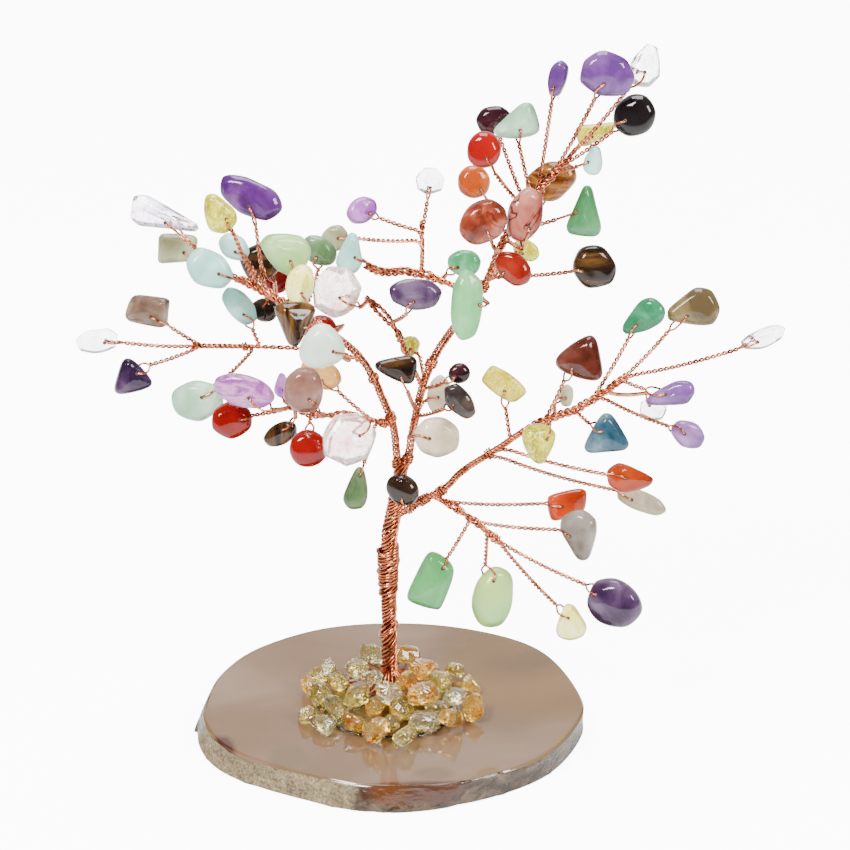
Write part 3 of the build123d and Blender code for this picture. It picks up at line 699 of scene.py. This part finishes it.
KNOT_OUT = 1.2 * MM
EYE_STEP = 0.3 * MM
EYE_STRAY = 1.6 * MM
EYE_DIP = 0.3 * MM
EYE_EDGE_OUT = WIRE * 0.6
EYE_EDGE_HEIGHT = 0.55
EYE_PATH = [
    # share of the way from hole to edge, share of the stray aside, lift in wire radii
    (0.72, 1, 1), (0.4, 0.7, 1.5), (0.12, 0, 1.3),
]
# The drilled hole isn't cut: these size a dark disc on each face, painted shade for the hole.
HOLE_SHADE_RADIUS = 0.42 * MM
HOLE_SHADE_DEPTH = 0.2 * MM
HOLE_SHADE_SINK = 0.05 * MM
HOLE_SHADE_SIDES = 10
FAR_OFF = 20 * MM
NO_FACE_LIFT = 0.5 * MM
END_CORNERS = 4


class Drilled:
    """Where a stone is: its middle, the hole's middle and direction, and the way to its edge."""

    def __init__(self, points, planes):
        bore_points, normals = [], []
        for place, normal, corners in planes:
            if ((points - place) @ normal).max() > TOUCH:
                bore_points += corners
                normals.append(normal)
        self.hole = np.mean(bore_points, axis=0)
        self.axis = np.linalg.svd(np.array(normals))[2][-1]
        if self.axis[1] > 0:
            self.axis = -self.axis
        bore = np.array(bore_points)
        self.points = np.array(
            [point for point in points if np.linalg.norm(bore - point, axis=1).min() > SAME_PLACE])
        self.middle = (self.points.max(axis=0) + self.points.min(axis=0)) / 2
        heights = (self.points - self.middle) @ self.axis
        self.half = (heights.max() - heights.min()) / 2
        self.middle = self.middle + self.axis * (heights.max() + heights.min()) / 2
        self.hole = self.hole - self.axis * ((self.hole - self.middle) @ self.axis)

    def aim(self, start):
        """Finds the way from the hole to the stone's edge that faces the twig's start."""
        self.start = start
        toward = start - self.hole
        toward = toward - self.axis * (toward @ self.axis)
        self.edgeward = toward / np.linalg.norm(toward)
        self.edge = self.hole + self.edgeward * ((self.points - self.hole) @ self.edgeward).max()
        self.knot = self.edge + self.edgeward * KNOT_OUT

    def on_face(self, place, side, lift):
        """The point of the stone's front or back surface over a place, lifted off it."""
        out = self.axis * side
        hit = self.surface.ray_cast(Vector(place + out * FAR_OFF), Vector(-out))[0]
        if hit is None:
            return place + out * NO_FACE_LIFT
        return np.array(hit) + out * lift


def eye(stone, seed):
    """The opened end of a twig: over the stone's face, through its hole and back behind it."""
    aside = np.cross(stone.axis, stone.edgeward) * noise.noise(Vector((seed * 1.3, 0.5, 0.2))) * EYE_STRAY
    reach = stone.edge - stone.hole
    places = [stone.knot]
    for side in (1, -1):
        height = stone.axis * side * stone.half * EYE_EDGE_HEIGHT
        across = [stone.edge + height + stone.edgeward * EYE_EDGE_OUT + aside * side]
        for share, stray, rise in EYE_PATH:
            over = stone.hole + reach * share + aside * side * stray
            across.append(stone.on_face(over, side, WIRE / 2 * rise))
        across.append(stone.on_face(stone.hole, side, -EYE_DIP))
        places += across[::side]
    places.append(stone.knot)
    return smooth_line([Vector(place) for place in places], EYE_STEP)


STONE_ROUNDING = 2
STONE_SWELL = 1.09
FACE_TILT = 0.95
FACE_BORDER, FACE_RISE, DOME_RISE = 0.12, 0.012, 0.02
CHIPPED_CREASE, TUMBLED_CREASE = 0.8, 0.28
DENTS, SMALL_DENTS, LEANS = 0.07, 0.03, 0.05
DENTS_SCALE, SMALL_DENTS_SCALE, LEANS_SCALE = 150, 380, 70
LEAN_SEED = 1.9
ROUND_CORNERS = 28
ROUND_SPREAD = 0.87
ROUND_PASSES = 3


def pebble(heap, stone, seed, material_index, hole_shade_index, chipped):
    """Adds one tumbled stone: domed on both faces, dented, with a dark disc of painted hole shade on each face.
    """
    axis, middle = Vector(stone.axis), Vector(stone.middle)
    size = length_of(stone.points)
    lump = hull_of(stone.points, middle, STONE_SWELL)
    flat = [face for face in lump.faces if abs(face.normal.dot(axis)) > FACE_TILT]
    bmesh.ops.inset_individual(lump, faces=flat, thickness=size * FACE_BORDER, depth=size * FACE_RISE)
    bmesh.ops.poke(lump, faces=flat, offset=size * DOME_RISE)
    crease = lump.edges.layers.float.new("crease_edge")
    own_crease = CHIPPED_CREASE if chipped else TUMBLED_CREASE * (seed * VARIETY_STEP % 1)
    for edge in lump.edges:
        if edge.calc_face_angle(0) > SHARP_ANGLE:
            edge[crease] = own_crease
    bmesh.ops.subdivide_edges(lump, edges=lump.edges, cuts=1, use_grid_fill=True)
    shift = seed_shift(seed)
    for vertex in lump.verts:
        away = vertex.co - middle
        across = away - axis * away.dot(axis)
        dent = (noise.noise(away * DENTS_SCALE + shift) * DENTS
                + noise.noise(away * SMALL_DENTS_SCALE + shift) * SMALL_DENTS)
        lean = noise.noise(across * LEANS_SCALE + shift * LEAN_SEED) * LEANS
        vertex.co += across.normalized() * (dent * size) + axis * (lean * size)
    spread = np.linalg.svd(stone.points - stone.middle, compute_uv=False)
    is_round = spread[1] > ROUND_SPREAD * spread[0] and len(stone.points) >= ROUND_CORNERS and not chipped
    for _ in range(ROUND_PASSES if is_round else 1):
        bmesh.ops.smooth_vert(
            lump, verts=lump.verts, factor=0.5, use_axis_x=True, use_axis_y=True, use_axis_z=True)
    bmesh.ops.recalc_face_normals(lump, faces=lump.faces)
    for face in lump.faces:
        face.material_index = material_index
    stone.surface = BVHTree.FromBMesh(lump)
    upright = axis.to_track_quat("Z", "Y").to_matrix().to_4x4()
    # A dark disc, just proud of each face, is painted shade standing in for the inside of the hole.
    for side in (1, -1):
        at = Vector(stone.on_face(stone.hole, side, -HOLE_SHADE_SINK))
        ring = bmesh.ops.create_cone(
            lump, cap_ends=True, segments=HOLE_SHADE_SIDES, radius1=HOLE_SHADE_RADIUS, radius2=HOLE_SHADE_RADIUS,
            depth=HOLE_SHADE_DEPTH, matrix=Matrix.Translation(at) @ upright)
        for vertex in ring["verts"]:
            for edge in vertex.link_edges:
                edge[crease] = 1
            for face in vertex.link_faces:
                face.material_index = hole_shade_index
    add_to(heap, lump)


GEM_COAT = 0.2
CLOUDS_FROM, CLOUDS_TO = 0.34, 0.66
SEE_THROUGH = 0.5


def gem(name, colours, rough=0.1, scale=110, clear=0.0, stretch=(1, 1, 1), flow=0.4, turn=(0, 0, 0),
        subsurface=0.0, veins=None, cracks=None):
    """A tumbled stone's finish: its colours run into each other in clouds or bands.

    Veins are thin stained lines, cracks the bright or dark flaws inside clear stones.
    """
    finish = Finish(
        name, rough, Coat_Weight=GEM_COAT, Coat_Roughness=0.03, Transmission_Weight=clear, IOR=1.5,
        Specular_IOR_Level=0.5 if clear > SEE_THROUGH else 0.3)
    if subsurface:
        finish.shader.inputs["Subsurface Weight"].default_value = subsurface
        finish.shader.inputs["Subsurface Scale"].default_value = 2 * MM
    shares = np.linspace(CLOUDS_FROM, CLOUDS_TO, len(colours))
    painted = finish.ramp(finish.noise(scale, 4, flow, stretch, turn), *zip(shares, colours))
    if cracks:
        flaws = finish.noise(900, detail=5, distortion=2.5, stretch=(1, 1, 0.5))
        painted = finish.mix(finish.between(flaws, low=0.54, high=0.62), painted, cracks)
    if veins:
        from_middle = finish.both(finish.noise(130, detail=3, distortion=0.8), 0.5, "SUBTRACT")
        line = finish.both(from_middle, 0, "ABSOLUTE")
        painted = finish.mix(finish.between(line, low=0.016, high=0.002), painted, veins)
    finish.paint(painted)
    finish.bump(finish.noise(900, detail=2), distance=0.02 * MM, strength=0.5)
    return finish.material


# Painted shade: the dark inside of a drilled hole, laid on the discs over each face.
HOLE_SHADE = Finish("painted_hole_shade", 0.7)
HOLE_SHADE.paint(HOLE_SHADE.ramp(HOLE_SHADE.noise(900), (0.3, (0.02, 0.012, 0.008)), (0.7, (0.07, 0.04, 0.03))))
AMETHYST = gem(
    "amethyst", [(0.03, 0.003, 0.062), (0.072, 0.014, 0.12), (0.17, 0.052, 0.23)], rough=0.07, clear=0.15)
LAVENDER = gem(
    "lavender_amethyst", [(0.075, 0.022, 0.13), (0.17, 0.066, 0.25), (0.38, 0.21, 0.46)],
    rough=0.07, scale=95, clear=0.25)
DARK_AMETHYST = gem(
    "dark_amethyst", [(0.016, 0.006, 0.026), (0.046, 0.02, 0.058), (0.12, 0.075, 0.13)],
    rough=0.07, scale=150, clear=0.1)
PALE_AMETHYST = gem(
    "lilac_amethyst", [(0.17, 0.03, 0.27), (0.36, 0.09, 0.45), (0.62, 0.26, 0.66)], scale=160, clear=0.3)
BANDED_AMETHYST = gem(
    "banded_amethyst", [(0.15, 0.02, 0.21), (0.66, 0.28, 0.54), (0.26, 0.04, 0.31), (0.56, 0.16, 0.48)],
    rough=0.08, scale=120, clear=0.2, stretch=(1, 1, 2.6))
QUARTZ = gem(
    "clear_quartz", [(0.62, 0.58, 0.58), (0.86, 0.84, 0.84), (0.96, 0.96, 0.96)],
    rough=0.03, scale=90, clear=0.9, cracks=(0.5, 0.45, 0.45))
VIOLET_QUARTZ = gem(
    "stained_quartz", [(0.4, 0.22, 0.42), (0.84, 0.8, 0.84), (0.96, 0.94, 0.96)],
    rough=0.03, scale=150, clear=0.8, stretch=(0.5, 1, 2.5), cracks=(0.35, 0.22, 0.4))
PINK_QUARTZ = gem(
    "veined_quartz", [(0.66, 0.34, 0.32), (0.9, 0.8, 0.8), (0.97, 0.95, 0.95)],
    rough=0.04, scale=170, clear=0.6, veins=(0.7, 0.32, 0.28), cracks=(0.55, 0.36, 0.34))
ROSE = gem("rose_quartz", [(0.15, 0.06, 0.042), (0.22, 0.1, 0.074), (0.32, 0.17, 0.135)], clear=0.2)
CITRINE = gem(
    "citrine", [(0.4, 0.28, 0.001), (0.6, 0.46, 0.005), (0.8, 0.68, 0.04)],
    rough=0.08, scale=240, clear=0.15, cracks=(0.9, 0.82, 0.24))
OLIVE_CITRINE = gem(
    "olive_citrine", [(0.28, 0.25, 0.002), (0.52, 0.47, 0.006), (0.85, 0.8, 0.04)],
    rough=0.08, scale=330, clear=0.15, cracks=(0.85, 0.78, 0.16))
PALE_CITRINE = gem(
    "pale_citrine_stone", [(0.8, 0.74, 0.06), (0.94, 0.9, 0.2), (0.96, 0.95, 0.6)],
    rough=0.08, scale=220, clear=0.35, cracks=(0.98, 0.96, 0.8))
AQUA = gem(
    "aquamarine", [(0.17, 0.46, 0.4), (0.33, 0.66, 0.57), (0.54, 0.87, 0.79)],
    rough=0.14, scale=100, clear=0.15)
PALE_AVENTURINE = gem(
    "pale_aventurine", [(0.21, 0.45, 0.11), (0.37, 0.59, 0.21), (0.53, 0.76, 0.33)], rough=0.12, clear=0.15)
FROSTED = gem(
    "frosted_aventurine", [(0.17, 0.36, 0.21), (0.32, 0.53, 0.35), (0.52, 0.74, 0.55)], rough=0.12, clear=0.2)
MOSS = gem(
    "moss_aventurine", [(0.05, 0.11, 0.035), (0.11, 0.2, 0.085), (0.24, 0.34, 0.18)], rough=0.12, scale=130)
VIVID_GREEN = gem(
    "vivid_aventurine", [(0.015, 0.17, 0.05), (0.05, 0.32, 0.12), (0.3, 0.52, 0.3)], rough=0.09, scale=150)
EMERALD = gem(
    "emerald_aventurine", [(0.008, 0.1, 0.038), (0.02, 0.17, 0.07), (0.08, 0.31, 0.17)], rough=0.09, scale=150)
SPRING_GREEN = gem(
    "spring_aventurine", [(0.028, 0.15, 0.045), (0.055, 0.215, 0.078), (0.11, 0.29, 0.13)],
    scale=120, clear=0.1)
MINT = gem(
    "mint_aventurine", [(0.079, 0.33, 0.11), (0.16, 0.47, 0.17), (0.26, 0.56, 0.26)], scale=100, clear=0.1)
LEAF = gem("leaf_aventurine", [(0.03, 0.075, 0.021), (0.083, 0.14, 0.054), (0.15, 0.21, 0.1)], rough=0.12)
JADE = gem(
    "jade", [(0.047, 0.22, 0.057), (0.078, 0.28, 0.086), (0.11, 0.36, 0.12)],
    rough=0.12, scale=90, subsurface=0.1)
CARNELIAN = gem(
    "carnelian", [(0.16, 0.001, 0), (0.22, 0.001, 0.001), (0.29, 0.002, 0.001)], rough=0.05, scale=70)
ORANGE = gem(
    "orange_carnelian", [(0.2, 0.01, 0), (0.29, 0.021, 0), (0.38, 0.04, 0.001)],
    rough=0.07, scale=130, clear=0.1)
VIVID_ORANGE = gem(
    "vivid_carnelian", [(0.38, 0.02, 0), (0.48, 0.034, 0), (0.58, 0.062, 0.002)],
    rough=0.07, scale=150, clear=0.05)
PEACH = gem(
    "peach_agate", [(0.36, 0.05, 0.004), (0.6, 0.13, 0.02), (0.86, 0.42, 0.16)],
    rough=0.07, scale=150, clear=0.15)
GOLD = gem(
    "gold_agate", [(0.52, 0.17, 0.015), (0.74, 0.32, 0.045), (0.92, 0.56, 0.18)],
    rough=0.08, scale=120, clear=0.1)
JASPER = gem(
    "red_jasper", [(0.07, 0.01, 0.004), (0.22, 0.034, 0.014), (0.38, 0.12, 0.075)],
    rough=0.08, scale=190, veins=(0.1, 0.012, 0.006))
PINK_JASPER = gem(
    "pink_jasper", [(0.09, 0.006, 0.004), (0.24, 0.034, 0.02), (0.55, 0.24, 0.18)],
    rough=0.08, scale=62, veins=(0.06, 0.005, 0.004))
BRICK_JASPER = gem(
    "brick_jasper", [(0.032, 0.005, 0.002), (0.076, 0.014, 0.008), (0.12, 0.034, 0.023)], scale=180)
BRIGHT_JASPER = gem(
    "bright_jasper", [(0.12, 0.002, 0.001), (0.2, 0.008, 0.002), (0.25, 0.019, 0.007)], scale=170)
TIGER = gem(
    "tiger_eye", [(0.006, 0.002, 0.001), (0.036, 0.012, 0.003), (0.115, 0.05, 0.012), (0.016, 0.005, 0.001)],
    rough=0.07, scale=150, stretch=(3.6, 0.6, 0.5), flow=0.15, turn=(0, 0.6, 0))
GOLD_TIGER = gem(
    "gold_tiger_eye", [(0.034, 0.006, 0.001), (0.16, 0.045, 0.008), (0.35, 0.14, 0.025), (0.089, 0.023, 0.003)],
    scale=150, stretch=(0.6, 0.6, 3.8), flow=0.15, turn=(0, 0.4, 0))
DARK_TIGER = gem(
    "dark_tiger_eye", [(0.005, 0.002, 0.001), (0.018, 0.007, 0.002), (0.095, 0.042, 0.011)],
    rough=0.07, scale=140, stretch=(0.6, 0.6, 3.5), flow=0.2, turn=(0, -0.5, 0))
SMOKY = gem(
    "smoky_quartz", [(0.01, 0.004, 0.002), (0.025, 0.011, 0.005), (0.059, 0.031, 0.017)],
    rough=0.06, scale=90, clear=0.1)
GREY_SMOKY = gem(
    "grey_smoky_quartz", [(0.064, 0.033, 0.022), (0.16, 0.097, 0.066), (0.29, 0.21, 0.16)],
    scale=150, clear=0.1)
MOONSTONE = gem(
    "moonstone", [(0.46, 0.54, 0.42), (0.62, 0.7, 0.58), (0.8, 0.86, 0.76)], rough=0.16, scale=80, clear=0.1)
GREY_MOONSTONE = gem(
    "grey_moonstone", [(0.36, 0.28, 0.17), (0.6, 0.5, 0.36), (0.84, 0.75, 0.6)], rough=0.12, clear=0.1)
PREHNITE = gem("prehnite", [(0.26, 0.25, 0.12), (0.39, 0.4, 0.23), (0.57, 0.61, 0.37)], rough=0.12, clear=0.15)
SANDY = gem("sandy_jasper", [(0.28, 0.215, 0.13), (0.4, 0.33, 0.22), (0.54, 0.46, 0.33)], rough=0.16, scale=140)
GARNET = gem(
    "garnet", [(0.01, 0.002, 0.004), (0.028, 0.005, 0.009), (0.07, 0.02, 0.026)], rough=0.06, clear=0.05)
HEMATITE = gem(
    "hematite", [(0.006, 0.005, 0.004), (0.021, 0.015, 0.014), (0.085, 0.055, 0.04)],
    rough=0.08, scale=100, stretch=(1, 1, 2))
OBSIDIAN = gem(
    "obsidian", [(0.002, 0.001, 0.001), (0.004, 0.002, 0.002), (0.008, 0.006, 0.006)], rough=0.05, scale=60)
GREY_LABRADORITE = gem(
    "grey_labradorite", [(0.085, 0.068, 0.052), (0.155, 0.13, 0.105), (0.26, 0.225, 0.185)], scale=150)
LABRADORITE = gem("labradorite", [(0.072, 0.048, 0.021), (0.18, 0.13, 0.046), (0.32, 0.24, 0.11)])
BLUE = gem(
    "blue_agate", [(0.008, 0.035, 0.059), (0.038, 0.093, 0.13), (0.13, 0.19, 0.22)], scale=150, clear=0.05)
SERPENTINE = gem(
    "serpentine", [(0.29, 0.54, 0.17), (0.45, 0.59, 0.17), (0.69, 0.69, 0.18)],
    rough=0.12, scale=60, clear=0.15)

# Each node's stones from left to right, with the record's material slot for the node
STONES = {
    "amethysts_left": ("amethyst", [
        DARK_AMETHYST, BANDED_AMETHYST, AMETHYST, PALE_AMETHYST, PALE_AMETHYST, DARK_AMETHYST]),
    "amethysts_right": ("amethyst", [LAVENDER]),
    "amethyst_hanging": ("amethyst", [DARK_AMETHYST]),
    "aquamarines": ("aquamarine", [AQUA]),
    "aventurine_drop": ("green_aventurine", [LEAF]),
    "aventurine_hanging": ("green_aventurine", [MINT]),
    "aventurines_left": ("green_aventurine", [FROSTED, PALE_AVENTURINE, MOSS]),
    "aventurines_right": ("green_aventurine", [VIVID_GREEN, FROSTED, SPRING_GREEN, EMERALD]),
    "blue_agate": ("blue_agate", [BLUE]),
    "carnelian_hanging": ("carnelian", [CARNELIAN]),
    "carnelians_left": ("carnelian", [CARNELIAN]),
    "carnelians_right": ("carnelian", [CARNELIAN, ORANGE]),
    "citrine_hanging": ("citrine", [PALE_CITRINE]),
    "citrines": ("citrine", [
        OLIVE_CITRINE, PALE_CITRINE, OLIVE_CITRINE, CITRINE, OLIVE_CITRINE, OLIVE_CITRINE, OLIVE_CITRINE]),
    "garnets": ("garnet", [GARNET]),
    "hematite": ("hematite", [HEMATITE]),
    "jade_hanging": ("jade", [JADE]),
    "jaspers": ("red_jasper", [JASPER, BRIGHT_JASPER, PINK_JASPER, BRICK_JASPER]),
    "labradorites": ("labradorite", [GREY_LABRADORITE, LABRADORITE]),
    "moonstones": ("moonstone", [MOONSTONE, GREY_MOONSTONE, GREY_MOONSTONE]),
    "obsidian": ("obsidian", [OBSIDIAN]),
    "orange_agates": ("orange_agate", [GOLD, PEACH, VIVID_ORANGE]),
    "prehnites": ("prehnite", [PREHNITE, PREHNITE, PREHNITE, SANDY]),
    "quartz_left": ("clear_quartz", [QUARTZ, VIOLET_QUARTZ, PINK_QUARTZ, PINK_QUARTZ, QUARTZ]),
    "quartz_right": ("clear_quartz", [QUARTZ]),
    "rose_quartz": ("rose_quartz", [ROSE]),
    "serpentine_hanging": ("serpentine", [SERPENTINE]),
    "smoky_quartz": ("smoky_quartz", [GREY_SMOKY, DARK_TIGER, DARK_TIGER, SMOKY]),
    "tiger_eye_hanging": ("tiger_eye", [DARK_TIGER]),
    "tiger_eyes_left": ("tiger_eye", [DARK_TIGER, TIGER, TIGER]),
    "tiger_eyes_right": ("tiger_eye", [GOLD_TIGER]),
}
body_of_node = {
    node: body for body, nodes in frame["record"]["behaviour"]["bodies"].items() for node in nodes}
all_twigs = [
    (bough, number, points) for bough in BOUGHS
    for number, (points, _) in enumerate(solids_of(f"{bough}_twigs"))]
stone_on_twig = {}
for seed, (node, (slot, finishes)) in enumerate(STONES.items()):
    heap = bmesh.new()
    for number, (points, planes) in enumerate(solids_of(node)):
        stone = Drilled(points, planes)
        bough, index, corners = min(
            all_twigs, key=lambda twig: np.linalg.norm(twig[2] - stone.hole, axis=1).min())
        far_end = np.linalg.norm(corners - stone.hole, axis=1).argsort()[-END_CORNERS:]
        stone.aim(corners[far_end].mean(axis=0))
        stone_on_twig[bough, index] = stone
        own_finish = min(number, len(finishes) - 1)
        pebble(heap, stone, seed * 7 + number, own_finish, len(finishes), chipped=slot == "clear_quartz")
    made = piece_from(
        heap, f"{node}_tumbled", [*finishes, HOLE_SHADE.material], STONE_ROUNDING, body_of_node[node])
    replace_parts(made, node)

TWIG_STEP = 0.28 * MM
TWIG_LAY = PAIR_LAY * 0.82
TWIG_SAG = 0.025
TWIG_BENDS = (0.3, 0.7)
LEAD_IN = 3 * MM

for bough, line in bough_lines.items():
    legs = []
    on_bough = sorted(index for own_bough, index in stone_on_twig if own_bough == bough)
    for number in on_bough:
        stone = stone_on_twig[bough, number]
        nearest = np.linalg.norm(line - stone.start, axis=1).argmin()
        leaving = line[nearest]
        heading = stone.knot - leaving
        sag = np.array((0, 0, -TWIG_SAG)) * np.linalg.norm(heading)
        root = line[max(nearest - int(LEAD_IN / BOUGH_STEP), 0)]
        bends = [leaving + heading * share + sag for share in TWIG_BENDS]
        places = [root, leaving, *bends, stone.knot]
        stem = smooth_line([Vector(place) for place in places], TWIG_STEP)
        legs += twisted(stem, 2, PAIR_REACH, TWIG_LAY, number + 11)
        legs.append(eye(stone, number))
    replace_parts(wires_piece(f"{bough}_twig_wires", legs, WIRE / 2), f"{bough}_twigs")

# Roots. The trunk's copper wires are spread out flat at its foot, three in each bunch.
# They lie under the chips on the slice and are held there by the glue.

ROOT_ENDS = 6
ROOT_STEP = 0.4 * MM
UP = Vector((0, 0, 1))
ROOT_PATH = [
    # how far out, aside and up: from the foot, three times from the near end, from the far end
    (1.2 * MM, 0.5 * MM, 4.5 * MM), (0.2 * MM, 0.8 * MM, 2.2 * MM), (2.4 * MM, 1.4 * MM, 0.5 * MM),
    (5 * MM, 2 * MM, 0), (0, 1.6 * MM, 0),
]

roots = []
foot = Vector(trunk_places[0])
for points, _ in solids_of("root_strands"):
    ends = sorted(points, key=lambda point: (point[0] - foot.x) ** 2 + (point[1] - foot.y) ** 2)
    near, far = Vector(np.mean(ends[:ROOT_ENDS], axis=0)), Vector(np.mean(ends[-ROOT_ENDS:], axis=0))
    outward = (far - near).normalized()
    for side in (-1, 0, 1):
        aside = outward.cross(UP) * side
        places = [
            start + outward * out + aside * beside + UP * up
            for start, (out, beside, up) in zip((foot, near, near, near, far), ROOT_PATH)]
        roots.append(smooth_line(places, ROOT_STEP))
root_wires = wires_piece("root_wires", roots, WIRE / 2)
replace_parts(root_wires, "root_strands")

# Studio. A pale seamless floor with soft light from above and from both sides,
# and a camera in front that looks down a little, as for a catalogue picture.

FLOOR_SIZE = 6.0
FLOOR_PARTS = 8
WHITE = (1, 1, 1, 1)
UNDERLAY_DROP = 1 * MM
WORLD_LIGHT = 0.25
TREE_MIDDLE = (0, 0, 0.08)
LOOKING_DOWN = math.radians(25)
CAMERA_PLACE = Vector((7.5, -608.7, 361.9)) * MM
LENS = 127.5
FARTHEST_SEEN = 20


def sheet_of_paper(name, height, glow):
    """A large level sheet of white paper, lit from behind where it glows."""
    grid = bmesh.new()
    bmesh.ops.create_grid(
        grid, x_segments=FLOOR_PARTS, y_segments=FLOOR_PARTS, size=FLOOR_SIZE / 2,
        matrix=Matrix.Translation((0, 0, height)))
    mesh = bpy.data.meshes.new(name)
    grid.to_mesh(mesh)
    grid.free()
    paper = Finish(f"{name}_paper", 0.9, Emission_Strength=glow, Emission_Color=WHITE)
    paper.paint(paper.ramp(paper.noise(3), (0.3, (0.92, 0.92, 0.92)), (0.7, (0.94, 0.94, 0.94))))
    mesh.materials.append(paper.material)
    made = in_scene(name, mesh)
    return made


floor = sheet_of_paper("floor", 0, 9)
floor.visible_diffuse = False
floor.visible_glossy = False
floor.visible_shadow = False
underlay = sheet_of_paper("underlay", -UNDERLAY_DROP, 0)
underlay.visible_camera = False
underlay.visible_transmission = False

world = bpy.data.worlds.new("studio")
bpy.context.scene.world = world
world.use_nodes = True
world.node_tree.nodes["Background"].inputs["Color"].default_value = WHITE
world.node_tree.nodes["Background"].inputs["Strength"].default_value = WORLD_LIGHT


def softbox(name, place, size, watts):
    """A square soft light aimed at the tree."""
    light = bpy.data.lights.new(name, "AREA")
    light.size = size
    light.energy = watts
    lamp = in_scene(name, light)
    lamp.location = place
    lamp.rotation_euler = (Vector(TREE_MIDDLE) - Vector(place)).to_track_quat("-Z", "Y").to_euler()


softbox("key", (-0.45, -0.55, 0.85), 0.35, 22)
softbox("fill", (0.65, -0.45, 0.6), 0.35, 11)
softbox("top", (0.0, 0.25, 0.9), 0.5, 10)
softbox("backdrop", (0.0, 0.75, 0.4), 1.3, 5)

camera_data = bpy.data.cameras.new("camera")
camera_data.lens = LENS
camera_data.clip_end = FARTHEST_SEEN
camera = in_scene("camera", camera_data)
camera.location = CAMERA_PLACE
camera.rotation_euler = (math.pi / 2 - LOOKING_DOWN, 0, 0)
bpy.context.scene.camera = camera
